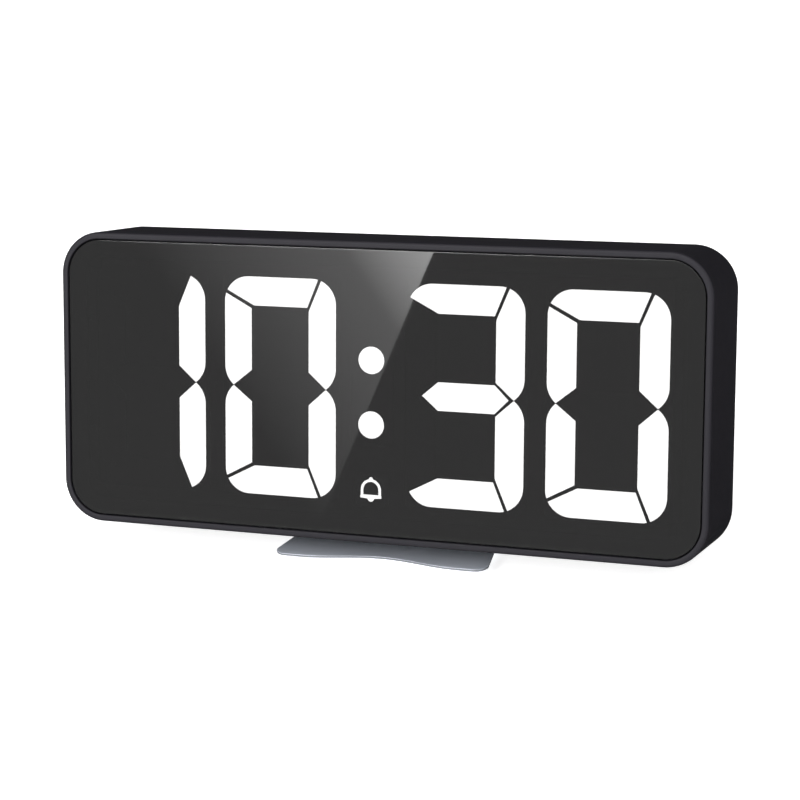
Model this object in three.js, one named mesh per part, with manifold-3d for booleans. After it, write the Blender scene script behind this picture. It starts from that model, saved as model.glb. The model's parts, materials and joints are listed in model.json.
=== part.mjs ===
// A bedside alarm clock: a shallow rounded box with a smoked front panel and large lit digits, leaning
// back on a bent sheet-metal foot. Millimetres, +Z up, front towards -Y. The origin is the middle
// of the object's box, on the surface it stands on.
// Inside the group "clock" the axes are the clock's own: X right, Y from the front rim to the back, Z up
// the face, with the origin at the middle of the front rim's plane.
import * as THREE from "three";
import { mergeVertices } from "three/addons/utils/BufferGeometryUtils.js";
import Module from "manifold-3d";

const wasm = await Module();
wasm.setup();

// ---------------------------------------------------------------- driving dimensions
const WIDTH = 165;
const HEIGHT = 72.4;
const DEPTH = 24.6;
const LEAN = THREE.MathUtils.degToRad(12);
const WALL = 1.6;
const CORNER = 10.5; // outer corner radius of the face
const GAP = 0.3; // clearance between neighbours
const OVERLAP = 0.1; // how far joined solids run into each other
const BEYOND = 1; // how far a cutter runs past the face that it opens

// layers, measured from the front rim's plane
const LENS_FRONT = 0.3;
const LENS_THICKNESS = 1.5;
const LEDGE_FRONT = LENS_FRONT + LENS_THICKNESS + GAP;
const LEDGE_THICKNESS = 1.2;
const LEDGE_OPENING = { halfWidth: 76, halfHeight: 30.5, r: 3 };
const CORNER_BLOCK = { x: 73.2, z: 27.0 }; // the screw blocks fill the corners beyond this
const CORNER_CLEAR = { x: CORNER_BLOCK.x - 0.5, z: CORNER_BLOCK.z - 0.5 }; // inner parts stay within this
const REFLECTOR_FRONT = 2.7;
const REFLECTOR_BACK = 8.2;
const DIFFUSER_RECESS = 0.8;
const DIFFUSER_WEB = 0.5;
const SEGMENT_RISE = 0.6;
const DISPLAY_BOARD = [8.5, 9.7];
const MAIN_BOARD = [14.6, 16.0];
const COVER = [22.4, 24.4];

// display
const DISPLAY_X = -0.55; // the display sits a little left of the face's middle
const DIGIT_CENTRES = [-58.2, -23.7, 23.7, 58.2].map((x) => x + DISPLAY_X);
const DIGIT = { halfWidth: 14.55, halfHeight: 26.6, corner: 6.2, stroke: 7.0, inner: 7.5, waist: 4.0 };
const COLON = { x: DISPLAY_X, z: [7.75, -7.8], r: 3.28 };
const BELL = { x: DISPLAY_X, z: -23.55, halfWidth: 2.72, dome: 2.6, foot: -1.95, stroke: 0.65 };
const LIGHT_BOX = { halfWidth: 75, halfHeight: 29.5 };
const CELL_SCALE = 0.88; // a light cell's size against its segment's
const LAMP = { long: 1.6, short: 0.8, height: 0.8 }; // half length, half width, height
const BOARD_OUTLINE = { halfWidth: 80.2, halfHeight: 33.6, r: 2 };

// battery compartment, in the middle of the back
const CELL = { r: 5.25, body: 43.7, nub: 0.8, nubR: 1.9, pitch: 10.9, y: 16.35 };
const BAY = { halfLength: 25.6, halfHeight: 16.6, z: 5.0, floor: 10.8, wall: 2.4 };
const DOOR = { halfWidth: 26.4, halfHeight: 17.4, front: 22.6 };
const DIP = { r: 9, length: 14, depth: 0.8, down: 4.5 }; // a thumb's dip near the door's top edge
const DOOR_RIB = { x: 9, halfWidth: 0.6, bottom: -7, top: 13, front: 21.9 };
const SPRING = { wire: 0.3, start: 3.6, end: 2.0, turns: 3.5, length: 5.4 };
const CONTACT = { half: 4.2, thickness: 0.4 };

// controls, in a row along the top of the back
const ROW_Z = 29;
const BUTTON = { r: 3.2, proud: 1.0, travel: 0.6, flange: 4.2 };
const BUTTONS = { button_set: -40, button_alarm: -27, button_down: -14, button_up: -1 };
const SNOOZE = { x: 21, halfLength: 13, r: 3.2 };
const SLIDER = { x: 52, travel: 2.0, halfWidth: 1.6, halfHeight: 1.3 };
const SLIDER_SKIRT = { halfWidth: 3.4, halfHeight: 2.4, front: 20.6 };
const SWITCH_BODY = [MAIN_BOARD[1] + GAP, MAIN_BOARD[1] + GAP + 3.3];
const SWITCH_STEM = { r: 1.7, length: 0.4 };

// things on the main board and on the cover over them
const SOUNDER = { x: 63, z: 8, r: 6, back: 21.3, mouth: 1.2 };
const SLOT = { rows: [-2, -1, 0, 1, 2], pitch: 2.4, short: 3.6, long: 4.8, halfHeight: 0.6 };
const COIN = { x: 43, z: -4, r: 10, thickness: 3.2 };
const CHIP_AT = { x: 50, z: 8, halfWidth: 5, halfHeight: 3.7, pins: 8, pitch: 1.27 };
const CRYSTAL = { x: [36, 44], z: 19, r: 1.5 };
const RIBBON_AT = { x: [30.5, 42.5], z: [-8, 6], thickness: 0.4 };
const INLET = { x: 53, z: -24, halfWidth: 4.45, halfHeight: 1.6, back: 23.9 };
const COVER_SCREW = { x: 76.2, z: 30.0, clearR: 1.3, sinkR: 2.4, sink: 1.2, pilotR: 0.9, pilotFrom: 13 };
const MAIN_OUTLINE = [[-50, 25], [28.8, 25], [28.8, -31], [72.2, -31], [72.2, 33.4], [-50, 33.4]];
const MAIN_EAR = { x: [-50, -42], z: [16.5, 26] };
const BOARD_POSTS = [[34, -26.5], [67.5, -26.5], [67.5, 29.5], [-46, 19.5]];
const BOARD_POST = { r: 2.4, pilotR: 0.8, pilotTo: 21.5, clearR: 1.3 };
const DISPLAY_POST = { x: 78.6, z: 14, r: 2.5, pilotR: 0.8, pilot: [4, 9], clearR: 1.1 };

// foot
const SHEET = 0.6;
const FOOT_TOP = -42.45; // below the middle of the front face, measured upright
const FOOT = {
  x: -0.75, halfFront: 27.6, halfRear: 21.4, lobe: -2.1, notch: 2.7, notchHalf: 20.5, rear: 45,
  corner: 3, rearCorner: 5,
};
const TONGUE = { halfWidth: 10, top: -21.5, bend: 1.5, corner: 3, screwX: 6, screwZ: -26.5, holeR: 1.3 };
const TONGUE_BOSS = { r: 2.6, front: 17.0, pilotR: 1.1, pilotFrom: 18.2 };
const WINDOW_REAR = 38; // where the hole left by the lanced tongue ends
const PAD = { r: 4, thickness: 1.2 };
const PADS = [[-21, 5], [21, 5], [-16.5, 38], [16.5, 38]];

// screws: head radius and height, shank radius and length, and which way along Y the shank runs
const COVER_BOLT = { headR: 2.0, head: 1.1, shankR: 0.6, length: 7, sense: -1 };
const DISPLAY_BOLT = { headR: 1.9, head: 1.0, shankR: 0.5, length: 4.6, sense: -1 };
const BOARD_BOLT = { headR: 2.1, head: 1.1, shankR: 0.5, length: 5.5, sense: 1 };
const STAND_BOLT = { headR: 2.3, head: 1.2, shankR: 0.8, length: 6.0, sense: -1 };
const RECESS_ARM = { reach: 0.6, halfWidth: 0.35, depth: 0.5 }; // shares of the head, but for halfWidth

const FACE_HALF_W = WIDTH / 2;
const FACE_HALF_H = HEIGHT / 2;
const INNER_HALF_W = FACE_HALF_W - WALL;
const INNER_HALF_H = FACE_HALF_H - WALL;
const INNER_CORNER = CORNER - WALL;

// ---------------------------------------------------------------- materials
function finish(color, roughness, metalness) {
  return new THREE.MeshStandardMaterial({ color, roughness, metalness });
}

const HOUSING = finish(0x2b2b2e, 0.55, 0);
const SMOKED = finish(0x1e1e1e, 0.08, 0);
const BLACK_PLASTIC = finish(0x141414, 0.7, 0);
const OPAL = finish(0xffffff, 0.4, 0);
const BOARD = finish(0x1f4d33, 0.5, 0);
const CHIP = finish(0x17181a, 0.5, 0);
const NICKEL = finish(0xbfc0bd, 0.3, 1);
const STEEL = finish(0x8f9499, 0.35, 1);
const RUBBER = finish(0x1a1a1a, 0.9, 0);
const BUTTON_GREY = finish(0x3a3b3f, 0.5, 0);
const CELL_JACKET = finish(0x2f6f4a, 0.4, 0);
const RIBBON = finish(0xd8d4c8, 0.6, 0);

// ---------------------------------------------------------------- solids
function solid(geometry) {
  const bare = geometry.clone();
  bare.deleteAttribute("normal");
  bare.deleteAttribute("uv");
  const merged = mergeVertices(bare, 1e-4);
  const vertProperties = new Float32Array(merged.attributes.position.array);
  const triVerts = new Uint32Array(merged.index.array);
  return new wasm.Manifold(new wasm.Mesh({ numProp: 3, vertProperties, triVerts }));
}

function geometryOf(made) {
  const { vertProperties, triVerts } = made.getMesh();
  const geometry = new THREE.BufferGeometry();
  geometry.setAttribute("position", new THREE.BufferAttribute(new Float32Array(vertProperties), 3));
  geometry.setIndex(new THREE.BufferAttribute(new Uint32Array(triVerts), 1));
  const flat = geometry.toNonIndexed();
  flat.computeVertexNormals();
  return flat;
}

const join = (first, ...others) => others.reduce((sum, other) => sum.add(other), first);
const cut = (first, ...others) => others.reduce((rest, other) => rest.subtract(other), first);
const sorted = (a, b) => [Math.min(a, b), Math.max(a, b)];
const CORNERS = [[-1, -1], [1, -1], [-1, 1], [1, 1]];

// A shape drawn in X and Z, made into a slab from y0 to y1.
function slab(shape, y0, y1, curveSegments = 4) {
  const geometry = new THREE.ExtrudeGeometry(shape, { depth: y1 - y0, bevelEnabled: false, curveSegments });
  geometry.rotateX(Math.PI / 2);
  geometry.translate(0, y1, 0);
  return solid(geometry);
}

function roundedRect(halfW, halfH, r, x = 0, z = 0) {
  const shape = new THREE.Shape();
  shape.moveTo(x - halfW + r, z - halfH);
  shape.lineTo(x + halfW - r, z - halfH);
  shape.absarc(x + halfW - r, z - halfH + r, r, -Math.PI / 2, 0);
  shape.lineTo(x + halfW, z + halfH - r);
  shape.absarc(x + halfW - r, z + halfH - r, r, 0, Math.PI / 2);
  shape.lineTo(x - halfW + r, z + halfH);
  shape.absarc(x - halfW + r, z + halfH - r, r, Math.PI / 2, Math.PI);
  shape.lineTo(x - halfW, z - halfH + r);
  shape.absarc(x - halfW + r, z - halfH + r, r, Math.PI, Math.PI * 1.5);
  return shape;
}

function box(x0, x1, y0, y1, z0, z1) {
  const geometry = new THREE.BoxGeometry(x1 - x0, y1 - y0, z1 - z0);
  geometry.translate((x0 + x1) / 2, (y0 + y1) / 2, (z0 + z1) / 2);
  return solid(geometry);
}

// A round bar along Y, from y0 to y1.
function rod(r, y0, y1, x, z, sides = 16) {
  const geometry = new THREE.CylinderGeometry(r, r, y1 - y0, sides);
  geometry.translate(x, (y0 + y1) / 2, z);
  return solid(geometry);
}

// A round bar along X, from x0 to x1.
function bar(r, x0, x1, y, z, sides = 16) {
  const geometry = new THREE.CylinderGeometry(r, r, x1 - x0, sides);
  geometry.rotateZ(Math.PI / 2);
  geometry.translate((x0 + x1) / 2, y, z);
  return solid(geometry);
}

const root = new THREE.Group();
const clock = new THREE.Group();
const stand = new THREE.Group();
root.add(clock, stand);

function place(group, name, made, material) {
  const mesh = new THREE.Mesh(geometryOf(made), material);
  mesh.name = name;
  group.add(mesh);
}

// ---------------------------------------------------------------- housing
// One moulding: four walls, a ledge that the lens is glued to, posts for the display board and four
// corner blocks that the cover screws bite into.
function housingShell() {
  const outer = roundedRect(FACE_HALF_W, FACE_HALF_H, CORNER);
  const inner = roundedRect(INNER_HALF_W, INNER_HALF_H, INNER_CORNER);
  const { halfWidth, halfHeight, r } = LEDGE_OPENING;
  const body = slab(outer, 0, DEPTH);
  const ledge = cut(
    slab(outer, LEDGE_FRONT, LEDGE_FRONT + LEDGE_THICKNESS),
    slab(roundedRect(halfWidth, halfHeight, r), 0, DEPTH, 2),
  );
  let shell = cut(body, slab(inner, -BEYOND, DEPTH + BEYOND)).add(ledge);
  for (const [sx, sz] of CORNERS) {
    const xs = sorted(sx * CORNER_BLOCK.x, sx * FACE_HALF_W);
    const zs = sorted(sz * CORNER_BLOCK.z, sz * FACE_HALF_H);
    const screwAt = [sx * COVER_SCREW.x, sz * COVER_SCREW.z];
    const postAt = [sx * DISPLAY_POST.x, sz * DISPLAY_POST.z];
    const block = box(...xs, LEDGE_FRONT, COVER[0] - GAP, ...zs).intersect(body);
    const post = rod(DISPLAY_POST.r, LEDGE_FRONT, DISPLAY_BOARD[0] - GAP, ...postAt, 12).intersect(body);
    shell = cut(
      join(shell, block, post),
      rod(COVER_SCREW.pilotR, COVER_SCREW.pilotFrom, DEPTH, ...screwAt, 10),
      rod(DISPLAY_POST.pilotR, ...DISPLAY_POST.pilot, ...postAt, 8),
    );
  }
  return shell;
}

function frontLens() {
  const shape = roundedRect(INNER_HALF_W - GAP, INNER_HALF_H - GAP, INNER_CORNER - GAP);
  return slab(shape, LENS_FRONT, LENS_FRONT + LENS_THICKNESS);
}

// ---------------------------------------------------------------- digits
// The outer corners and the two waists are arcs of one radius. turn is the arc's centre, by its signs.
const turn = (sx, sz) => [sx * (DIGIT.halfWidth - DIGIT.corner), sz * (DIGIT.halfHeight - DIGIT.corner)];
const degrees = THREE.MathUtils.degToRad;
const UNDERSIDE = DIGIT.halfHeight - DIGIT.stroke; // the lower edge of the top stroke
const SIDE_TOP = { right: UNDERSIDE - 0.95, left: UNDERSIDE - 0.7 }; // where the side strokes begin
const WAIST_CENTRE = { right: 5.1, left: 4.8 };
const MITRE = { rightInset: 0.4, leftInset: 0.7 }; // how far the inner edges stop short of the corners

// Points of an arc about (cx, cz) from angle a to b in degrees.
function arcPoints(cx, cz, r, a, b, steps) {
  return Array.from({ length: steps + 1 }, (_, i) => {
    const t = degrees(a + ((b - a) * i) / steps);
    return [cx + r * Math.cos(t), cz + r * Math.sin(t)];
  });
}

// The outlines of the seven segments, each a list of points about the digit's centre.
function segmentOutlines(steps) {
  const [right, top] = turn(1, 1);
  const r = DIGIT.corner;
  const edge = DIGIT.inner;
  const a = [
    ...arcPoints(right, top, r, 75.5, 90, 1),
    ...arcPoints(-right, top, r, 90, 153, steps),
    [-edge + MITRE.leftInset, UNDERSIDE],
    [edge - MITRE.rightInset, UNDERSIDE],
  ];
  const b = [
    [edge, SIDE_TOP.right],
    [edge, DIGIT.waist],
    ...arcPoints(right, WAIST_CENTRE.right, r, -54.5, 0, steps),
    ...arcPoints(right, top, r, 0, 67.5, steps),
  ];
  const f = [
    ...arcPoints(-right, top, r, 161, 180, 2),
    ...arcPoints(-right, WAIST_CENTRE.left, r, 180, 230, steps),
    [-edge, DIGIT.waist - 0.15],
    [-edge, SIDE_TOP.left],
  ];
  const half = DIGIT.stroke / 2 - 0.1;
  const [tip, shoulder] = [{ right: 10.7, left: -10.8 }, { right: 7.25, left: -6.8 }];
  const g = [
    [tip.right, 0], [shoulder.right, half], [shoulder.left, half],
    [tip.left, 0], [shoulder.left, -half], [shoulder.right, -half],
  ];
  const flipped = (points) => points.map(([x, z]) => [x, -z]).reverse();
  return { a, b, c: flipped(b), d: flipped(a), e: flipped(f), f, g };
}

// A shape through points about (cx, cz), scaled about the points' own middle.
function outlineShape(points, cx, cz, scale = 1) {
  const mean = (k) => points.reduce((sum, p) => sum + p[k], 0) / points.length;
  const [mx, mz] = [mean(0), mean(1)];
  const moved = ([x, z]) => new THREE.Vector2(cx + mx + (x - mx) * scale, cz + mz + (z - mz) * scale);
  return new THREE.Shape(points.map(moved));
}

// The bell sign: a half circle on straight sides, a slightly flared foot, a knob and a clapper.
function bellShape() {
  const { halfWidth, dome, foot } = BELL;
  const side = [[halfWidth, foot], [halfWidth, foot + 0.3], [dome, foot + 0.7]];
  const half = [...side, ...arcPoints(0, 0, dome, 0, 78, 5)];
  const mirrored = half.map(([x, z]) => [-x, z]).reverse();
  const knob = arcPoints(0, dome, 0.5, 20, 160, 3);
  const clapper = arcPoints(0, foot, 0.9, 190, 350, 4);
  return outlineShape([...clapper, ...half, ...knob, ...mirrored], BELL.x, BELL.z);
}

function bellHollow() {
  const r = BELL.dome - BELL.stroke;
  const sill = BELL.foot + 0.75;
  return outlineShape([[-r, sill], [r, sill], ...arcPoints(0, 0, r, 0, 180, 8)], BELL.x, BELL.z);
}

const RECESSES = [
  ...DIGIT_CENTRES.map((x) => ({ x, z: 0, halfW: 15.4, halfH: 27.2 })),
  { x: COLON.x, z: 0, halfW: 5.6, halfH: 13 },
  { x: BELL.x, z: BELL.z, halfW: 4.6, halfH: 4.4 },
];

function recessShape({ x, z, halfW, halfH }, inset) {
  return roundedRect(halfW - inset, halfH - inset, 1.5, x, z);
}

// Boxes that clear a flat inner part from the housing's corner blocks.
function cornerCutters() {
  return CORNERS.map(([sx, sz]) => box(
    ...sorted(sx * CORNER_CLEAR.x, sx * FACE_HALF_W), 0, DEPTH,
    ...sorted(sz * CORNER_CLEAR.z, sz * FACE_HALF_H),
  ));
}

// The black light box behind the lens: shallow recesses for the diffusers, and a cell behind each
// segment that ends at its lamps.
function displayReflector() {
  const { halfWidth, halfHeight } = LIGHT_BOX;
  const through = [0, REFLECTOR_BACK + BEYOND];
  let block = cut(
    box(-halfWidth, halfWidth, REFLECTOR_FRONT, REFLECTOR_BACK, -halfHeight, halfHeight),
    ...cornerCutters(),
  );
  for (const recess of RECESSES) {
    block = cut(block, slab(recessShape(recess, 0), 0, REFLECTOR_FRONT + DIFFUSER_RECESS, 2));
  }
  for (const x of DIGIT_CENTRES) {
    for (const points of Object.values(segmentOutlines(2))) {
      block = cut(block, slab(outlineShape(points, x, 0, CELL_SCALE), ...through));
    }
  }
  for (const z of COLON.z) block = cut(block, rod(COLON.r - 0.5, ...through, COLON.x, z, 12));
  return cut(block, rod(BELL.dome - 0.2, ...through, BELL.x, BELL.z, 12));
}

// One opal moulding for each digit: a thin web in the light box's recess, with the segments raised on it.
function digitDiffuser(index) {
  const x = DIGIT_CENTRES[index];
  let body = slab(recessShape(RECESSES[index], GAP), REFLECTOR_FRONT, REFLECTOR_FRONT + DIFFUSER_WEB, 2);
  for (const points of Object.values(segmentOutlines(3))) {
    const raised = slab(outlineShape(points, x, 0), REFLECTOR_FRONT - SEGMENT_RISE, REFLECTOR_FRONT + 0.2);
    body = body.add(raised);
  }
  return body;
}

function symbolDiffuser(recess, raisedParts) {
  const web = slab(recessShape(recess, GAP), REFLECTOR_FRONT, REFLECTOR_FRONT + DIFFUSER_WEB, 2);
  return join(web, ...raisedParts);
}

// A lamp on the display board. It runs across where wide is true, and up where it isn't.
function lamp(x, z, wide) {
  const [halfW, halfH] = wide ? [LAMP.long, LAMP.short] : [LAMP.short, LAMP.long];
  const front = DISPLAY_BOARD[0];
  return box(x - halfW, x + halfW, front - LAMP.height, front + OVERLAP, z - halfH, z + halfH);
}

// The display board, with a lamp soldered on it for each cell.
function displayBoard() {
  const [front, back] = DISPLAY_BOARD;
  const { halfWidth, halfHeight, r } = BOARD_OUTLINE;
  let board = cut(slab(roundedRect(halfWidth, halfHeight, r), front, back, 2), ...cornerCutters());
  for (const [sx, sz] of CORNERS) {
    board = cut(board, rod(DISPLAY_POST.clearR, 0, DEPTH, sx * DISPLAY_POST.x, sz * DISPLAY_POST.z, 10));
  }
  const [levelZ, sideX, sideZ] = [23, 11, 12];
  for (const x of DIGIT_CENTRES) {
    for (const dz of [levelZ, 0, -levelZ]) board = board.add(lamp(x, dz, true));
    for (const [sx, sz] of CORNERS) board = board.add(lamp(x + sx * sideX, sz * sideZ, false));
  }
  for (const z of [...COLON.z, BELL.z]) board = board.add(lamp(COLON.x, z, true));
  return board;
}

// ---------------------------------------------------------------- fasteners
// A pan-head screw along Y, with its head's seat at y and a cross recess.
function screw(x, z, y, { headR, head, shankR, length, sense }) {
  const along = (a, b) => sorted(y + sense * a, y + sense * b);
  const reach = headR * RECESS_ARM.reach;
  const half = RECESS_ARM.halfWidth;
  const recess = along(-head - BEYOND, -head * (1 - RECESS_ARM.depth));
  return cut(
    join(rod(headR, ...along(-head, 0), x, z, 14), rod(shankR, ...along(-OVERLAP, length), x, z, 8)),
    box(x - reach, x + reach, ...recess, z - half, z + half),
    box(x - half, x + half, ...recess, z - reach, z + reach),
  );
}

// ---------------------------------------------------------------- main board
function mainBoard() {
  const outline = new THREE.Shape(MAIN_OUTLINE.map(([x, z]) => new THREE.Vector2(x, z)));
  return cut(
    slab(outline, ...MAIN_BOARD).add(box(...MAIN_EAR.x, ...MAIN_BOARD, ...MAIN_EAR.z)),
    ...BOARD_POSTS.map(([x, z]) => rod(BOARD_POST.clearR, 0, DEPTH, x, z, 10)),
  );
}

// The clock chip: a moulded body with a row of bent legs along both long sides.
function clockChip() {
  const { x, z, halfWidth, halfHeight, pins, pitch } = CHIP_AT;
  const [front, back] = [MAIN_BOARD[0] - GAP - 2.0, MAIN_BOARD[0] - GAP];
  const [half, shoulder, foot, reach] = [0.2, halfHeight + 0.6, halfHeight + 0.9, halfHeight + 1.5];
  let chip = box(x - halfWidth, x + halfWidth, front, back - 0.2, z - halfHeight, z + halfHeight);
  for (let i = 0; i < pins; i += 1) {
    const leg = x + (i - (pins - 1) / 2) * pitch;
    chip = chip.add(box(leg - half, leg + half, back - 0.9, back - 0.6, z - foot, z + foot));
    for (const side of [-1, 1]) {
      const zs = sorted(z + side * shoulder, z + side * reach);
      chip = chip.add(box(leg - half, leg + half, back - 0.9, back, ...zs));
    }
  }
  return chip;
}

// A tact switch: a square body with a round stem towards the cap.
function tactSwitch(x) {
  const [front, back] = SWITCH_BODY;
  const half = 3;
  return join(
    box(x - half, x + half, front, back, ROW_Z - half, ROW_Z + half),
    rod(SWITCH_STEM.r, back - OVERLAP, back + SWITCH_STEM.length, x, ROW_Z, 12),
  );
}

// The slide switch: a box with a slot that the slider's stem runs in.
function slideSwitch() {
  const [front, back] = SWITCH_BODY;
  const [halfWidth, halfHeight, slotHalf, slotDepth] = [5, 2, 0.9, 1.8];
  const reach = SLIDER.travel + 1.2;
  return cut(
    box(SLIDER.x - halfWidth, SLIDER.x + halfWidth, front, back, ROW_Z - halfHeight, ROW_Z + halfHeight),
    box(SLIDER.x - reach, SLIDER.x + reach, back - slotDepth, back + BEYOND,
      ROW_Z - slotHalf, ROW_Z + slotHalf),
  );
}

// ---------------------------------------------------------------- controls
const CAP_FRONT = SWITCH_BODY[1] + SWITCH_STEM.length + BUTTON.travel + GAP;
const FLANGE_SPAN = [COVER[0] - GAP - 0.8, COVER[0] - GAP];

function roundButton(x) {
  return join(
    rod(BUTTON.r, CAP_FRONT, COVER[1] + BUTTON.proud, x, ROW_Z, 20),
    rod(BUTTON.flange, ...FLANGE_SPAN, x, ROW_Z, 16),
  );
}

function snoozeButton() {
  const { x, halfLength, r } = SNOOZE;
  return join(
    slab(roundedRect(halfLength, r, r, x, ROW_Z), FLANGE_SPAN[0] - OVERLAP, COVER[1] + BUTTON.proud),
    slab(roundedRect(halfLength + 1, r + 0.8, r, x, ROW_Z), ...FLANGE_SPAN, 3),
    rod(1.8, CAP_FRONT, COVER[0], x, ROW_Z, 12),
  );
}

// The dimmer's slider: a small knob, a skirt that covers its slot, and a stem into the slide switch.
function dimmerSlider() {
  const { x, halfWidth, halfHeight } = SLIDER;
  const { front, halfWidth: skirtW, halfHeight: skirtH } = SLIDER_SKIRT;
  const [stemW, stemH, stemFront] = [0.8, 0.55, SWITCH_BODY[1] - 1.4];
  return join(
    box(x - halfWidth, x + halfWidth, front, COVER[1] + 0.8, ROW_Z - halfHeight, ROW_Z + halfHeight),
    box(x - skirtW, x + skirtW, front, COVER[0] - GAP, ROW_Z - skirtH, ROW_Z + skirtH),
    box(x - stemW, x + stemW, stemFront, front + OVERLAP, ROW_Z - stemH, ROW_Z + stemH),
  );
}

// ---------------------------------------------------------------- back
// The battery bay's tub, the posts for the main board and the bosses for the stand's screws.
function coverInside() {
  const { halfLength, halfHeight, z, floor, wall } = BAY;
  const inside = COVER[0] + 0.5;
  const tub = box(-halfLength - wall, halfLength + wall, floor - 0.8, inside,
    z - halfHeight - wall, z + halfHeight + wall);
  const posts = BOARD_POSTS.map(([x, postZ]) => cut(
    rod(BOARD_POST.r, MAIN_BOARD[1] + GAP, inside, x, postZ, 12),
    rod(BOARD_POST.pilotR, 0, BOARD_POST.pilotTo, x, postZ, 8),
  ));
  const bosses = [-1, 1].map((sx) => (
    rod(TONGUE_BOSS.r, TONGUE_BOSS.front, inside, sx * TONGUE.screwX, TONGUE.screwZ, 12)
  ));
  return [tub, ...posts, ...bosses];
}

// The openings for the caps, the slider, the inlet and the sounder.
function coverOpenings() {
  const through = [COVER[0] - 2, DEPTH + BEYOND];
  const { x, halfLength, r } = SNOOZE;
  const sliderW = SLIDER.halfWidth + SLIDER.travel + GAP;
  const sliderH = SLIDER.halfHeight + GAP;
  const inlet = roundedRect(INLET.halfWidth + 0.4, INLET.halfHeight + 0.4, 1.9, INLET.x, INLET.z);
  const slots = SLOT.rows.map((row) => {
    const half = row % 2 === 0 ? SLOT.short : SLOT.long;
    const z = SOUNDER.z + row * SLOT.pitch;
    return slab(roundedRect(half, SLOT.halfHeight, SLOT.halfHeight, SOUNDER.x, z), ...through, 2);
  });
  return [
    ...Object.values(BUTTONS).map((at) => rod(BUTTON.r + GAP, ...through, at, ROW_Z, 20)),
    slab(roundedRect(halfLength + GAP, r + GAP, r, x, ROW_Z), ...through),
    box(SLIDER.x - sliderW, SLIDER.x + sliderW, ...through, ROW_Z - sliderH, ROW_Z + sliderH),
    slab(inlet, ...through, 5),
    ...slots,
  ];
}

// The cover closes the housing. The door lies in a rebate round the battery bay's mouth.
function rearCover() {
  const { halfLength, halfHeight, z, floor } = BAY;
  const { x: screwX, z: screwZ, clearR, sinkR, sink } = COVER_SCREW;
  const past = DEPTH + BEYOND;
  const shape = roundedRect(INNER_HALF_W - GAP, INNER_HALF_H - GAP, INNER_CORNER - GAP);
  const rebate = roundedRect(DOOR.halfWidth + GAP, DOOR.halfHeight + GAP, 1.2, 0, z);
  return cut(
    join(slab(shape, ...COVER), ...coverInside()),
    box(-halfLength, halfLength, floor, past, z - halfHeight, z + halfHeight),
    slab(rebate, DOOR.front - GAP, past, 2),
    ...coverOpenings(),
    ...CORNERS.map(([sx, sz]) => rod(clearR, 0, past, sx * screwX, sz * screwZ, 10)),
    ...CORNERS.map(([sx, sz]) => rod(sinkR, COVER[1] - sink, past, sx * screwX, sz * screwZ, 16)),
    ...[-1, 1].map((sx) => (
      rod(TONGUE_BOSS.pilotR, TONGUE_BOSS.pilotFrom, past, sx * TONGUE.screwX, TONGUE.screwZ, 10)
    )),
  );
}

// The battery door: a flat lid in a rebate, with a thumb dip at its top edge and two ribs inside that
// hold the cells down.
function batteryDoor() {
  const z = BAY.z;
  const lid = slab(roundedRect(DOOR.halfWidth, DOOR.halfHeight, 1.0, 0, z), DOOR.front, COVER[1], 2);
  const ribs = [-1, 1].map((sx) => {
    const xs = [sx * DOOR_RIB.x - DOOR_RIB.halfWidth, sx * DOOR_RIB.x + DOOR_RIB.halfWidth];
    return box(...xs, DOOR_RIB.front, DOOR.front + OVERLAP, DOOR_RIB.bottom, DOOR_RIB.top);
  });
  const dip = bar(DIP.r, -DIP.length / 2, DIP.length / 2, COVER[1] + DIP.r - DIP.depth,
    z + DOOR.halfHeight - DIP.down, 24);
  return cut(join(lid, ...ribs), dip);
}

// ---------------------------------------------------------------- power
const cellZ = (index) => BAY.z + (1 - index) * CELL.pitch;
const plusSide = (index) => (index % 2 === 0 ? -1 : 1);

// A dry cell lying along X: a jacket with a raised contact at its positive end.
function dryCell(index) {
  const side = plusSide(index);
  const plus = side * (BAY.halfLength - GAP - CONTACT.thickness - GAP);
  const shoulder = plus - side * CELL.nub;
  const minus = shoulder - side * CELL.body;
  const z = cellZ(index);
  return join(
    bar(CELL.r, ...sorted(shoulder, minus), CELL.y, z, 24),
    bar(CELL.nubR, ...sorted(plus, shoulder - side * OVERLAP), CELL.y, z, 12),
  );
}

// The spring at a cell's flat end: a cone of round wire.
class ConeHelix extends THREE.Curve {
  constructor(start, end, z) {
    super();
    this.start = start;
    this.end = end;
    this.z = z;
  }

  getPoint(t, target = new THREE.Vector3()) {
    const angle = t * SPRING.turns * 2 * Math.PI;
    const r = SPRING.start + (SPRING.end - SPRING.start) * t;
    const x = this.start + (this.end - this.start) * t;
    return target.set(x, CELL.y + r * Math.cos(angle), this.z + r * Math.sin(angle));
  }
}

function contactSpring(index) {
  const side = -plusSide(index);
  const seat = side * (BAY.halfLength - GAP - SPRING.wire);
  const tip = side * (BAY.halfLength - SPRING.length + SPRING.wire);
  const section = new THREE.Shape().absarc(0, 0, SPRING.wire, 0, Math.PI * 2);
  const path = new ConeHelix(seat, tip, cellZ(index));
  return solid(new THREE.ExtrudeGeometry(section, { steps: 28, extrudePath: path, curveSegments: 3 }));
}

function contactPlate(index) {
  const side = plusSide(index);
  const outer = side * (BAY.halfLength - GAP);
  const z = cellZ(index);
  const { half, thickness } = CONTACT;
  return box(...sorted(outer, outer - side * thickness), CELL.y - half, CELL.y + half, z - half, z + half);
}

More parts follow.
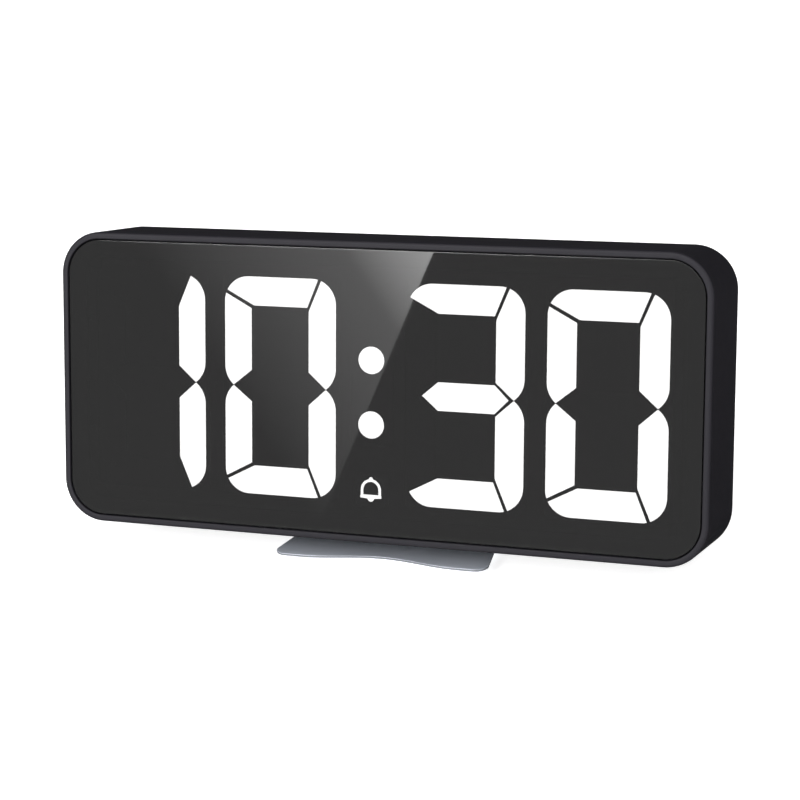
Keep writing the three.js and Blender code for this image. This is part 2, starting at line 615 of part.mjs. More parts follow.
// The power inlet: a stadium-shaped metal shell with a contact tongue inside.
function powerInlet() {
  const { x, z, halfWidth, halfHeight, back } = INLET;
  const front = MAIN_BOARD[1] + GAP;
  const wall = 0.3;
  const stadium = (inset) => {
    const [halfW, halfH] = [halfWidth - inset, halfHeight - inset];
    return roundedRect(halfW, halfH, halfH - 0.02, x, z);
  };
  return join(
    cut(slab(stadium(0), front, back, 3), slab(stadium(wall), front + 1, back + BEYOND, 3)),
    box(x - 3.3, x + 3.3, front + 0.5, back - 0.8, z - 0.35, z + 0.35),
  );
}

// The coin cell keeps the time while there is no other power. Its holder has a finger notch below.
const COIN_FRONT = MAIN_BOARD[1] + GAP;
const HOLDER_FLOOR = 0.8;

function coinHolder() {
  const { x, z, r, thickness } = COIN;
  const [wall, notch] = [1.3, 4];
  const floor = COIN_FRONT + HOLDER_FLOOR;
  const rim = floor + thickness + GAP + OVERLAP;
  const cup = slab(roundedRect(r + wall, r + wall, 3, x, z), COIN_FRONT, rim, 3);
  return cut(
    cup,
    rod(r + GAP, floor, DEPTH, x, z, 32),
    box(x - notch, x + notch, floor, DEPTH, z - r - 4, z),
  );
}

function coinCell() {
  const { x, z, r, thickness } = COIN;
  const front = COIN_FRONT + HOLDER_FLOOR + GAP;
  return rod(r, front, front + thickness, x, z, 32);
}

function sounder() {
  const { x, z, r, back, mouth } = SOUNDER;
  return cut(
    rod(r, MAIN_BOARD[1] + GAP, back, x, z, 24),
    rod(mouth, back - 1.5, back + BEYOND, x, z, 12),
  );
}

// The flat ribbon from the display board to the main board, folded once.
function displayRibbon() {
  const t = RIBBON_AT.thickness;
  const [y0, y1] = [DISPLAY_BOARD[1] + GAP, MAIN_BOARD[0] - GAP];
  const [z0, z1] = RIBBON_AT.z;
  const [outer, inner] = [0.8, 0.6]; // the fold's bevels
  const profile = new THREE.Shape([
    [y0, z0], [y0 + t, z0], [y0 + t, z1 - t - inner], [y0 + t + inner, z1 - t],
    [y1 - t - inner, z1 - t], [y1 - t, z1 - t - inner], [y1 - t, z0], [y1, z0],
    [y1, z1 - outer], [y1 - outer, z1], [y0 + outer, z1], [y0, z1 - outer],
  ].map(([y, z]) => new THREE.Vector2(y, z)));
  return acrossX(profile, ...RIBBON_AT.x);
}

// A shape drawn in Y and Z, made into a solid from x0 to x1.
function acrossX(shape, x0, x1, curveSegments = 8) {
  const geometry = new THREE.ExtrudeGeometry(shape, { depth: x1 - x0, bevelEnabled: false, curveSegments });
  geometry.applyMatrix4(new THREE.Matrix4().makeBasis(
    new THREE.Vector3(0, 1, 0),
    new THREE.Vector3(0, 0, 1),
    new THREE.Vector3(1, 0, 0),
  ));
  geometry.translate(x0, 0, 0);
  return solid(geometry);
}

// ---------------------------------------------------------------- foot
// The foot is one bent sheet: a flat plate with a waved front edge, and a tongue lanced out of its middle
// and bent up behind the cover.
const TONGUE_FRONT = COVER[1] + GAP;
const LEAN_SIN = Math.sin(LEAN);
const LEAN_COS = Math.cos(LEAN);
// the bend's centre lies one bend radius above the plate and one in front of the tongue
const BEND_Z = FOOT_TOP + TONGUE.bend;
const BEND_Y = (TONGUE_FRONT - TONGUE.bend + LEAN_SIN * BEND_Z) / LEAN_COS;

// The plate's outline: a cosine wave along the front, and rounded corners.
function footPlate() {
  const { halfFront, halfRear, lobe, notch, notchHalf, rear, corner, rearCorner } = FOOT;
  const steps = 28;
  const wave = Array.from({ length: steps + 1 }, (_, i) => {
    const x = notchHalf * ((2 * i) / steps - 1);
    return [x, lobe + notch * Math.cos((Math.PI * x) / (2 * notchHalf)) ** 2];
  });
  const points = [
    ...wave,
    ...arcPoints(halfFront - corner, lobe + corner, corner, -90, 0, 7),
    ...arcPoints(halfRear - rearCorner, rear - rearCorner, rearCorner, 0, 90, 7),
    ...arcPoints(-halfRear + rearCorner, rear - rearCorner, rearCorner, 90, 180, 7),
    ...arcPoints(-halfFront + corner, lobe + corner, corner, 180, 270, 7),
  ];
  const shape = new THREE.Shape(points.map(([x, y]) => new THREE.Vector2(FOOT.x + x, y)));
  const geometry = new THREE.ExtrudeGeometry(shape, { depth: SHEET, bevelEnabled: false });
  geometry.translate(0, 0, FOOT_TOP - SHEET);
  return solid(geometry);
}

// The bend between plate and tongue: two arcs about the bend's centre, with a short straight at each end.
function footBend() {
  const flat = -Math.PI / 2;
  const lifted = flat + Math.PI / 2 - LEAN;
  const straight = 2;
  const onTongue = (r) => [
    BEND_Y + r * LEAN_COS + straight * LEAN_SIN,
    BEND_Z - r * LEAN_SIN + straight * LEAN_COS,
  ];
  const outer = TONGUE.bend + SHEET;
  const profile = new THREE.Shape();
  profile.moveTo(BEND_Y - straight, FOOT_TOP - SHEET);
  profile.lineTo(BEND_Y, FOOT_TOP - SHEET);
  profile.absarc(BEND_Y, BEND_Z, outer, flat, lifted);
  profile.lineTo(...onTongue(outer));
  profile.lineTo(...onTongue(TONGUE.bend));
  profile.absarc(BEND_Y, BEND_Z, TONGUE.bend, lifted, flat, true);
  profile.lineTo(BEND_Y - straight, FOOT_TOP);
  return acrossX(profile, -TONGUE.halfWidth, TONGUE.halfWidth, 5);
}

// The tongue behind the cover, drawn upright and then leaned back. Its bottom corners are square.
function footTongue() {
  const { halfWidth, top, corner, screwX, screwZ, holeR } = TONGUE;
  const bottom = LEAN_SIN * BEND_Y + LEAN_COS * BEND_Z;
  const half = (top - bottom) / 2;
  const span = [TONGUE_FRONT, TONGUE_FRONT + SHEET];
  return cut(
    slab(roundedRect(halfWidth, half, corner, 0, bottom + half), ...span, 5),
    ...[-1, 1].map((sx) => rod(holeR, 0, DEPTH + 5, sx * screwX, screwZ, 12)),
  ).add(box(-halfWidth, halfWidth, ...span, bottom, bottom + corner + 1))
    .rotate([-THREE.MathUtils.radToDeg(LEAN), 0, 0]);
}

function standPlate() {
  const half = TONGUE.halfWidth + 0.6;
  const window = box(-half, half, BEND_Y, WINDOW_REAR, FOOT_TOP - SHEET - BEYOND, FOOT_TOP + BEYOND);
  return join(footPlate().subtract(window), footBend(), footTongue());
}

function footPad(sx, y) {
  const geometry = new THREE.CylinderGeometry(PAD.r, PAD.r, PAD.thickness, 20);
  geometry.rotateX(Math.PI / 2);
  geometry.translate(sx, y, FOOT_TOP - SHEET - GAP / 3 - PAD.thickness / 2);
  return solid(geometry);
}

// ---------------------------------------------------------------- assembly
const RAISED = [REFLECTOR_FRONT - SEGMENT_RISE, REFLECTOR_FRONT + 0.2];
const [, , , , COLON_RECESS, BELL_RECESS] = RECESSES;
const colonDots = COLON.z.map((z) => rod(COLON.r, ...RAISED, COLON.x, z, 20));
const bellSign = cut(slab(bellShape(), ...RAISED), slab(bellHollow(), 0, REFLECTOR_FRONT));
const screwSeat = COVER[1] - COVER_SCREW.sink + GAP / 3;
const tongueSeat = TONGUE_FRONT + SHEET + GAP / 3;

place(clock, "housing_shell", housingShell(), HOUSING);
place(clock, "front_lens", frontLens(), SMOKED);
place(clock, "display_reflector", displayReflector(), BLACK_PLASTIC);
DIGIT_CENTRES.forEach((_, i) => place(clock, `digit_diffuser_${i + 1}`, digitDiffuser(i), OPAL));
place(clock, "colon_diffuser", symbolDiffuser(COLON_RECESS, colonDots), OPAL);
place(clock, "bell_diffuser", symbolDiffuser(BELL_RECESS, [bellSign]), OPAL);
place(clock, "display_board", displayBoard(), BOARD);
place(clock, "main_board", mainBoard(), BOARD);
place(clock, "clock_chip", clockChip(), CHIP);
place(clock, "quartz_crystal", bar(CRYSTAL.r, ...CRYSTAL.x, MAIN_BOARD[0] - GAP - CRYSTAL.r, CRYSTAL.z, 12),
  NICKEL);
place(clock, "sounder", sounder(), CHIP);
place(clock, "coin_cell", coinCell(), NICKEL);
place(clock, "coin_cell_holder", coinHolder(), BLACK_PLASTIC);
place(clock, "power_inlet", powerInlet(), NICKEL);
place(clock, "display_ribbon", displayRibbon(), RIBBON);
place(clock, "rear_cover", rearCover(), HOUSING);
place(clock, "battery_door", batteryDoor(), HOUSING);
for (let i = 0; i < 3; i += 1) {
  place(clock, `dry_cell_${i + 1}`, dryCell(i), CELL_JACKET);
  place(clock, `contact_spring_${i + 1}`, contactSpring(i), NICKEL);
  place(clock, `contact_plate_${i + 1}`, contactPlate(i), NICKEL);
}
Object.entries(BUTTONS).forEach(([name, x], i) => {
  place(clock, name, roundButton(x), BUTTON_GREY);
  place(clock, `tact_switch_${i + 1}`, tactSwitch(x), CHIP);
});
place(clock, "button_snooze", snoozeButton(), BUTTON_GREY);
place(clock, "tact_switch_5", tactSwitch(SNOOZE.x), CHIP);
place(clock, "slide_switch", slideSwitch(), CHIP);
place(clock, "dimmer_slider", dimmerSlider(), BUTTON_GREY);
CORNERS.forEach(([sx, sz], i) => {
  const coverAt = [sx * COVER_SCREW.x, sz * COVER_SCREW.z];
  const displayAt = [sx * DISPLAY_POST.x, sz * DISPLAY_POST.z];
  const displaySeat = DISPLAY_BOARD[1] + GAP / 3;
  place(clock, `cover_screw_${i + 1}`, screw(...coverAt, screwSeat, COVER_BOLT), STEEL);
  place(clock, `display_screw_${i + 1}`, screw(...displayAt, displaySeat, DISPLAY_BOLT), STEEL);
});
BOARD_POSTS.forEach(([x, z], i) => {
  place(clock, `board_screw_${i + 1}`, screw(x, z, MAIN_BOARD[0] - GAP / 3, BOARD_BOLT), STEEL);
});
[-1, 1].forEach((sx, i) => {
  const standScrew = screw(sx * TONGUE.screwX, TONGUE.screwZ, tongueSeat, STAND_BOLT);
  place(clock, `stand_screw_${i + 1}`, standScrew, STEEL);
});
place(stand, "stand_plate", standPlate(), STEEL);
PADS.forEach(([x, y], i) => place(stand, `foot_pad_${i + 1}`, footPad(x, y), RUBBER));

// The clock leans back on the foot. The whole object stands on the ground, with its box's middle at the
// origin.
clock.rotation.x = -LEAN;
const low = FOOT_TOP - SHEET - GAP / 3 - PAD.thickness;
const front = -FACE_HALF_H * LEAN_SIN;
root.children.forEach((group) => group.position.set(0, -(front + FOOT.rear) / 2, -low));

export default root;
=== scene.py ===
import json
import math

import bmesh
import bpy
import numpy as np
from mathutils import Matrix, Vector
from mathutils.geometry import tessellate_polygon


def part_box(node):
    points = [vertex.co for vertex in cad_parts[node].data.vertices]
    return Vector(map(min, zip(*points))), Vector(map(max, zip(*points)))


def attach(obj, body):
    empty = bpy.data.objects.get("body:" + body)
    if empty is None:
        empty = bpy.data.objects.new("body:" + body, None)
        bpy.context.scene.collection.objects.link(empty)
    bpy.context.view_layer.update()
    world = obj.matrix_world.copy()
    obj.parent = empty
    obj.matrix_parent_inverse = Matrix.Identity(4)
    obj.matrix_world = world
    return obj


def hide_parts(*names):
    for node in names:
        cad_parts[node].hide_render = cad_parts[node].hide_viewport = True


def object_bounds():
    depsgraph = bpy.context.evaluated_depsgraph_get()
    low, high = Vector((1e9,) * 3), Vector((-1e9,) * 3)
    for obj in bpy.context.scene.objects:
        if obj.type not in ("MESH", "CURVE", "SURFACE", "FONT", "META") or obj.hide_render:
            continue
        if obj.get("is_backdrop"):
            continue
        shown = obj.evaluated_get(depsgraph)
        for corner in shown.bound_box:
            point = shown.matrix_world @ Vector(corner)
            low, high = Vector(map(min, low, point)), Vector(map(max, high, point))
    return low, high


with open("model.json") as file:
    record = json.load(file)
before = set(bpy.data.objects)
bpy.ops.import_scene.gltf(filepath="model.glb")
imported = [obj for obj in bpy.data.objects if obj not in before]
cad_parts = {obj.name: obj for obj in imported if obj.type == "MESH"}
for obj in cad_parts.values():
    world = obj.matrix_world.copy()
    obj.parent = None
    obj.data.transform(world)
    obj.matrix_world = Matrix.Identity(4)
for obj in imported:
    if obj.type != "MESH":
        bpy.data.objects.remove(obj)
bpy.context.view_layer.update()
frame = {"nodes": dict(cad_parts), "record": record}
nodes = frame["nodes"]
MM = 0.001

# ------------------------------------------------------------------ housing
# One deep black moulding with a rounded-corner mouth: four plain walls, a softly rolled front rim and a
# ledge inside that carries the lens. Moulded in matt ABS with a fine spark-eroded texture.
LEAN = math.radians(12)
WIDTH, HEIGHT, DEPTH, CORNER = 165.0, 72.4, 24.6, 10.5
WALL = 1.6
LENS_BACK = 1.8
LEDGE = (2.1, 3.3)
LEDGE_REACH = 5.7

shell_low, shell_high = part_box("housing_shell")
FACE_Y = shell_low.y / MM + HEIGHT / 2 * math.sin(LEAN)
FACE_Z = shell_high.z / MM - HEIGHT / 2 * math.cos(LEAN)


def leaned(points):
    """Points of the upright clock in millimetres, set in the row's frame in metres.

    x goes across the face, y from the rim's plane to the back and z up the face, from the face's middle.
    The clock is turned back about X by its lean, then moved to where the CAD shell stands."""
    x, y, z = np.moveaxis(np.asarray(points, float), -1, 0)
    back = y * math.cos(LEAN) + z * math.sin(LEAN) + FACE_Y
    up = z * math.cos(LEAN) - y * math.sin(LEAN) + FACE_Z
    return np.stack([x, back, up], -1) * MM


def standing(points):
    """Points already upright, in millimetres in the row's frame, as metres."""
    return np.asarray(points, float) * MM


def rounded(half_w, half_h, r, x=0.0, z=0.0, steps=24):
    """The outline of a rounded rectangle, anticlockwise: four quarter circles joined by straight edges."""
    turn = np.linspace(0, math.pi / 2, steps)
    quarters = [turn + k * math.pi / 2 for k in range(4)]
    sides = [(1, 1), (-1, 1), (-1, -1), (1, -1)]
    arcs = [
        np.stack([x + sx * (half_w - r) + r * np.cos(q), z + sz * (half_h - r) + r * np.sin(q)], -1)
        for q, (sx, sz) in zip(quarters, sides)
    ]
    return np.concatenate(arcs)


def grid(points, around=True, ring=False, ends=(True, True)):
    """Vertices and faces of a surface given as rows of points.

    Each row joins to the next by quads. around closes every row on itself, ring joins the last row to the
    first, and ends closes the first and last row with a fan about its middle."""
    points = np.asarray(points, float)
    rows, cols = points.shape[:2]
    index = np.arange(rows * cols).reshape(rows, cols)
    below = index if ring else index[:-1]
    above = np.roll(index, -1, 0) if ring else index[1:]
    if around:
        quads = np.stack([below, np.roll(below, -1, 1), np.roll(above, -1, 1), above], -1)
    else:
        quads = np.stack([below[:, :-1], below[:, 1:], above[:, 1:], above[:, :-1]], -1)
    faces = quads.reshape(-1, 4).tolist()
    verts = points.reshape(-1, 3)
    for row, shown, flip in ((0, ends[0], True), (-1, ends[1], False)):
        if ring or not shown:
            continue
        middle = len(verts)
        verts = np.vstack([verts, points[row].mean(0)])
        edge = index[row]
        nearby = np.roll(edge, -1)
        fan = np.stack([nearby, edge] if flip else [edge, nearby], -1)
        faces += [[int(a), int(b), middle] for a, b in fan]
    return verts, faces


def together(*parts):
    """Several sets of vertices and faces as one."""
    verts, faces, base = [], [], 0
    for some_verts, some_faces in parts:
        verts.append(np.asarray(some_verts, float))
        faces += [[base + i for i in face] for face in some_faces]
        base += len(some_verts)
    return np.concatenate(verts), faces


def piece(name, made, body, material, replaces=(), place=leaned, sharp=40):
    """A mesh object with faces out, smooth but for edges over sharp degrees, riding on a body."""
    verts, faces = made
    mesh = bpy.data.meshes.new(name)
    mesh.from_pydata(place(verts).tolist(), [], faces)
    shell = bmesh.new()
    shell.from_mesh(mesh)
    bmesh.ops.recalc_face_normals(shell, faces=shell.faces)
    shell.to_mesh(mesh)
    shell.free()
    mesh.polygons.foreach_set("use_smooth", [len(face) == 4 for face in faces])
    mesh.set_sharp_from_angle(angle=math.radians(sharp))
    obj = bpy.data.objects.new(name, mesh)
    bpy.context.scene.collection.objects.link(obj)
    weights = obj.modifiers.new("even shading", "WEIGHTED_NORMAL")
    weights.keep_sharp = True
    mesh.materials.append(material)
    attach(obj, body)
    if replaces:
        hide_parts(*replaces)
    return obj


class Wire:
    """A socket among a material's nodes. Arithmetic on it adds Math nodes."""

    def __init__(self, tree, socket=None):
        self.tree, self.socket = tree, socket

    def node(self, kind, settings=None, sockets=None, out=0):
        """Adds a node: settings first, then its sockets' values or links, and gives one output."""
        added = self.tree.nodes.new(kind)
        for key, value in (settings or {}).items():
            if key == "stops":
                ramp = added.color_ramp
                ramp.elements[0].position, ramp.elements[0].color = value[0]
                ramp.elements[1].position, ramp.elements[1].color = value[-1]
                for position, colour in value[1:-1]:
                    ramp.elements.new(position).color = colour
            else:
                setattr(added, key, value)
        for key, value in (sockets or {}).items():
            if isinstance(value, Wire):
                self.tree.links.new(value.socket, added.inputs[key])
            else:
                added.inputs[key].default_value = value
        return Wire(self.tree, None if out is None else added.outputs[out])

    def math(self, operation, *values):
        return self.node("ShaderNodeMath", {"operation": operation}, dict(enumerate(values)))

    def __add__(self, other):
        return self.math("ADD", self, other)

    def __sub__(self, other):
        return self.math("SUBTRACT", self, other)

    def __rsub__(self, other):
        return self.math("SUBTRACT", other, self)

    def __mul__(self, other):
        return self.math("MULTIPLY", self, other)

    def __truediv__(self, other):
        return self.math("DIVIDE", self, other)

    def __gt__(self, other):
        return self.math("GREATER_THAN", self, other)

    def __lt__(self, other):
        return self.math("LESS_THAN", self, other)

    __radd__, __rmul__ = __add__, __mul__

    def clamped(self, low=0.0, high=1.0):
        return self.math("MINIMUM", self.math("MAXIMUM", self, low), high)

    def coords(self, source="Object"):
        return self.node("ShaderNodeTexCoord", out=source)

    def noise(self, size, detail=2.0, at=None):
        """Soft noise with lumps about size millimetres across, from 0 to 1."""
        settings = {"Scale": 1 / (size * MM), "Detail": detail, "Vector": at or self.coords()}
        return self.node("ShaderNodeTexNoise", {}, settings)

    def mix(self, share, one, two):
        """Two colours mixed by a share from 0 to 1."""
        values = {"Factor": share, 6: one, 7: two}
        return self.node("ShaderNodeMix", {"data_type": "RGBA"}, values, out=2)

    def bump(self, height, depth, strength=1.0, under=None):
        """A bump whose height of 1 is depth millimetres."""
        values = {"Height": height, "Distance": depth * MM, "Strength": strength}
        if under:
            values["Normal"] = under
        return self.node("ShaderNodeBump", {}, values)


def finish(name, paint=None, **fixed):
    """A Principled material with fixed sockets, and what paint(wire) gives for those that vary."""
    material = bpy.data.materials.new(name)
    material.use_nodes = True
    tree = material.node_tree
    shader = tree.nodes["Principled BSDF"]
    for key, value in fixed.items():
        shader.inputs[key.replace("_", " ")].default_value = value
    for key, value in (paint(Wire(tree)) if paint else {}).items():
        tree.links.new(value.socket, shader.inputs[key])
    return material


def grey(level, warm=0.0):
    """A near-grey linear colour, bluer when warm is negative."""
    return (level * (1 + warm), level, level * (1 - warm), 1.0)


def moulded(name, colour, dark, rough, texture=0.12, depth=0.012, specular=0.3):
    """Textured moulding: fine grain in the surface, a slow drift in gloss, and a slightly uneven tone."""

    def paint(wire):
        fine = wire.noise(texture, 3.0)
        broad = wire.noise(22.0, 3.0)
        rub = wire.noise(3.5, 4.0)
        return {
            "Base Color": wire.mix((broad * 0.7 + fine * 0.5).clamped(), dark, colour),
            "Roughness": (broad * 0.10 + rub * 0.08 + (rough - 0.09)).clamped(),
            "Normal": wire.bump(fine + wire.noise(texture * 2.4, 2.0) * 0.6, depth),
        }

    return finish(name, paint, **{"Specular IOR Level": specular})


HOUSING_FINISH = moulded(
    "housing_matt", (0.0125, 0.0116, 0.0154, 1), (0.0095, 0.0088, 0.0116, 1), 0.6, specular=0.2
)


def arc(cx, cy, r, start, end, steps):
    """Points of an arc about (cx, cy) between two angles in degrees."""
    t = np.radians(np.linspace(start, end, steps))
    return np.stack([cx + r * np.cos(t), cy + r * np.sin(t)], -1)


def housing():
    """The wall's section carried round the face's outline.

    The section is a list of (inset, y). At an inset the outline's corner radius is smaller by that much,
    so all walls keep their thickness round the corners."""
    rim, lip, inner = 0.75, 0.45, 0.2
    section = np.concatenate([
        arc(rim, rim, rim, 180, 270, 7),
        arc(WALL - inner, inner, inner, -90, 0, 4),
        [(WALL, LEDGE[0]), (LEDGE_REACH, LEDGE[0]), (LEDGE_REACH, LEDGE[1]), (WALL, LEDGE[1])],
        arc(WALL - inner, DEPTH - inner, inner, 0, 90, 4),
        arc(lip, DEPTH - lip, lip, 90, 180, 5),
    ])
    corner = rounded(WIDTH / 2, HEIGHT / 2, CORNER)
    centre = np.sign(corner) * np.array([WIDTH / 2 - CORNER, HEIGHT / 2 - CORNER])
    out = (corner - centre) / CORNER
    inset, y = section[:, None, 0], section[:, None, 1]
    radius = (CORNER - inset)[..., None]
    flat = centre[None] + radius * out[None]
    return grid(np.stack([flat[..., 0], y + 0 * flat[..., 0], flat[..., 1]], -1), ring=True)


piece("housing", housing(), "clock", HOUSING_FINISH, ["housing_shell"])

# ------------------------------------------------------------------ lens
# A sheet of smoked acrylic 1.5 mm thick, laser cut with broken edges and glued on the ledge. It looks
# black until something behind it is lit.
LENS_FRONT, LENS_SOFT = 0.3, 0.2
PANEL = {"half_w": 80.6, "half_h": 34.3, "r": 8.6}


def inward(loop):
    """The inward normal at each point of an anticlockwise loop, lengthened so that edges keep their inset."""
    ahead = np.roll(loop, -1, 0) - loop
    behind = loop - np.roll(loop, 1, 0)
    ahead /= np.maximum(np.linalg.norm(ahead, axis=1, keepdims=True), 1e-9)
    behind /= np.maximum(np.linalg.norm(behind, axis=1, keepdims=True), 1e-9)
    left = np.stack([-(ahead + behind)[:, 1], (ahead + behind)[:, 0]], -1)
    left /= np.linalg.norm(left, axis=1, keepdims=True)
    share = np.clip((left * np.stack([-ahead[:, 1], ahead[:, 0]], -1)).sum(1, keepdims=True), 0.3, 1)
    return left / share


def plate(outline, near, far, soft=0.15, holes=(), steps=4, hole_soft=None):
    """A flat plate between two depths, with rounded edges round its outline and its holes.

    Each loop is drawn at its full size through the middle of the thickness, and drawn in along a quarter
    circle of radius soft towards either face. The two faces are filled between the drawn-in loops."""
    verts, faces, base = [], [], 0
    tops, bottoms = [], []
    turn = np.linspace(0, math.pi / 2, steps)
    for number, loop in enumerate([outline, *holes]):
        loop = np.asarray(loop, float)
        hole = number > 0
        r = hole_soft if hole and hole_soft is not None else soft
        normal = inward(loop) * (-1 if hole else 1)
        drawn = np.concatenate([r * (1 - np.sin(turn)), r * (1 - np.sin(turn[::-1]))])
        depth = np.concatenate([near + r * (1 - np.cos(turn)), far - r * (1 - np.cos(turn[::-1]))])
        flat = loop[None] + drawn[:, None, None] * normal[None]
        rows = np.stack([flat[..., 0], depth[:, None] + 0 * flat[..., 0], flat[..., 1]], -1)
        more, quads = grid(rows, ends=(False, False))
        faces += [[base + i for i in face] for face in quads]
        verts.append(more)
        tops.append((flat[0], base))
        bottoms.append((flat[-1], base + len(more) - len(loop)))
        base += len(more)
    for loops in (tops, bottoms):
        owner = np.concatenate([start + np.arange(len(flat)) for flat, start in loops])
        filled = tessellate_polygon([[Vector((a, b, 0)) for a, b in flat] for flat, _ in loops])
        faces += [[int(owner[i]) for i in face] for face in filled]
    return np.concatenate(verts), faces


def smoked(wire):
    film = wire.noise(9.0, 4.0)
    dust = (wire.noise(0.35, 1.0) > 0.76) * 0.05
    return {"Roughness": (film * 0.03 + dust).clamped()}


LENS_FINISH = finish(
    "smoked_acrylic", smoked, Base_Color=grey(0.004), Alpha=0.82, **{"Specular IOR Level": 0.5}
)
piece(
    "lens",
    plate(rounded(**PANEL), LENS_FRONT, LENS_BACK, LENS_SOFT, steps=5),
    "clock", LENS_FINISH, ["front_lens"],
)

# ------------------------------------------------------------------ digits
# Four opal mouldings lie in the black light box, each a thin web with seven raised segments. A segment
# glows where its lamps are on. The clock shows half past ten.
DISPLAY_X = -0.55
DIGIT_X = [DISPLAY_X + x for x in (-58.2, -23.7, 23.7, 58.2)]
LIT = ["bc", "abcdef", "abcdg", "abcdef"]
DIGIT_HALF_W, DIGIT_HALF_H, DIGIT_CORNER, STROKE, INNER = 14.55, 26.6, 6.2, 7.0, 7.5
WAIST = {"right": 4.0, "left": 3.85}
WAIST_CENTRE = {"right": 5.1, "left": 4.8}
MITRE = {"right": 0.4, "left": 0.7}
SEGMENT_FRONT, WEB = 2.1, (2.7, 3.2)


def segment(letter):
    """A segment's outline about its digit's centre, anticlockwise.

    All outer corners and both waists are arcs of one radius, the inner edges are straight, and the cuts
    between neighbours slant from the inner corner to the arc. The lower half mirrors the upper."""
    right, top = DIGIT_HALF_W - DIGIT_CORNER, DIGIT_HALF_H - DIGIT_CORNER
    under = DIGIT_HALF_H - STROKE
    half = STROKE / 2 - 0.1
    if letter in "ced":
        return segment({"c": "b", "e": "f", "d": "a"}[letter])[::-1] * np.array([1, -1])
    if letter == "a":
        right_arc = arc(right, top, DIGIT_CORNER, 75.5, 90, 4)
        left_arc = arc(-right, top, DIGIT_CORNER, 90, 153, 12)
        ends = [(MITRE["left"] - INNER, under), (INNER - MITRE["right"], under)]
        return np.concatenate([right_arc, left_arc, ends])
    if letter == "b":
        waist = arc(right, WAIST_CENTRE["right"], DIGIT_CORNER, -54.5, 0, 10)
        corner = arc(right, top, DIGIT_CORNER, 0, 67.5, 12)
        return np.concatenate([[(INNER, under - 0.95), (INNER, WAIST["right"])], waist, corner])
    if letter == "f":
        corner = arc(-right, top, DIGIT_CORNER, 161, 180, 5)
        waist = arc(-right, WAIST_CENTRE["left"], DIGIT_CORNER, 180, 230, 10)
        return np.concatenate([corner, waist, [(-INNER, WAIST["left"]), (-INNER, under - 0.7)]])
    return np.array([(10.7, 0), (7.25, half), (-6.8, half), (-10.8, 0), (-6.8, -half), (7.25, -half)])


def raised(outline, x, z=0.0, holes=()):
    """A segment standing on its web, with its sides."""
    place = np.array([x, z])
    return plate(outline + place, SEGMENT_FRONT, WEB[0] + 0.1, 0.04, [h + place for h in holes], steps=2)


def window(outline, x, z=0.0, holes=()):
    """The clear front face of a segment, a skin just proud of the painted sides."""
    place = np.array([x, z])
    skin = (SEGMENT_FRONT - 0.04, SEGMENT_FRONT - 0.01)
    return plate(outline + place, *skin, 0.005, [h + place for h in holes], steps=2)


def glowing(wire):
    """Even light with the faintest drift over each moulding, as from several lamps behind opal."""
    lamps = wire.noise(7.0, 1.0)
    return {"Emission Color": wire.mix(lamps, (1.0, 0.985, 0.97, 1), (1.0, 1.0, 1.0, 1))}


GLOW = finish("lit_opal", glowing, Base_Color=grey(0.8), Roughness=0.5, Emission_Strength=34.0)
DARK_OPAL = moulded("unlit_opal", grey(0.006), grey(0.004), 0.7, specular=0.1)
for number, x in enumerate(DIGIT_X):
    lit = [window(segment(letter), x) for letter in LIT[number]]
    solid = [raised(segment(letter), x) for letter in "abcdefg"]
    web = plate(rounded(15.1, 26.9, 1.2, x, steps=5), *WEB, 0.05, steps=2)
    node = f"digit_diffuser_{number + 1}"
    piece(f"digit_{number + 1}_lit", together(*lit), "clock", GLOW)
    piece(f"digit_{number + 1}", together(web, *solid), "clock", DARK_OPAL, [node])

# ------------------------------------------------------------------ colon and bell
# Two round dots part the hours from the minutes, and a small bell below them shows that the alarm is on.
COLON_Z, COLON_R = (7.75, -7.8), 3.28
BELL_Z, BELL_HALF_W, BELL_DOME, BELL_STROKE, BELL_FOOT = -23.55, 2.72, 2.6, 0.65, -1.95
KNOB, CLAPPER = 0.5, 0.9


def disc(r, x, z, steps=48):
    t = np.linspace(0, 2 * math.pi, steps, endpoint=False)
    return np.stack([x + r * np.cos(t), z + r * np.sin(t)], -1)


def bell_outlines(scale=1.0):
    """The bell's outline and its hollow about its middle: a half circle on straight sides, a slightly
    flared foot, a knob on top and half a clapper below."""
    clapper = arc(0, BELL_FOOT, CLAPPER, 190, 350, 10)
    dome = arc(0, 0, BELL_DOME, 0, 78, 12)
    knob = arc(0, BELL_DOME, KNOB, 20, 160, 8)
    side = np.array([(BELL_HALF_W, BELL_FOOT), (BELL_HALF_W, BELL_FOOT + 0.3), (BELL_DOME, BELL_FOOT + 0.7)])
    half = np.concatenate([side, dome])
    outer = np.concatenate([clapper, half, knob, half[::-1] * np.array([-1, 1])])
    r = BELL_DOME - BELL_STROKE
    hollow = np.concatenate([[(-r, BELL_FOOT + 0.75), (r, BELL_FOOT + 0.75)], arc(0, 0, r, 0, 180, 18)])
    return outer * scale, hollow * scale


bell_outer, bell_hollow = bell_outlines()
dot = disc(COLON_R, 0, 0)
lit_dots = [window(dot, DISPLAY_X, z) for z in COLON_Z]
dots = [raised(dot, DISPLAY_X, z) for z in COLON_Z]
colon_web = plate(rounded(5.3, 12.7, 1.2, DISPLAY_X, steps=5), *WEB, 0.05, steps=2)
bell_web = plate(rounded(4.3, 4.1, 1.2, DISPLAY_X, BELL_Z, steps=5), *WEB, 0.05, steps=2)
piece("colon_lit", together(*lit_dots), "clock", GLOW)
piece("colon", together(colon_web, *dots), "clock", DARK_OPAL, ["colon_diffuser"])
piece("bell_lit", window(bell_outer, DISPLAY_X, BELL_Z, [bell_hollow]), "clock", GLOW)
bell = raised(bell_outer, DISPLAY_X, BELL_Z, [bell_hollow])
piece("bell", together(bell_web, bell), "clock", DARK_OPAL, ["bell_diffuser"])

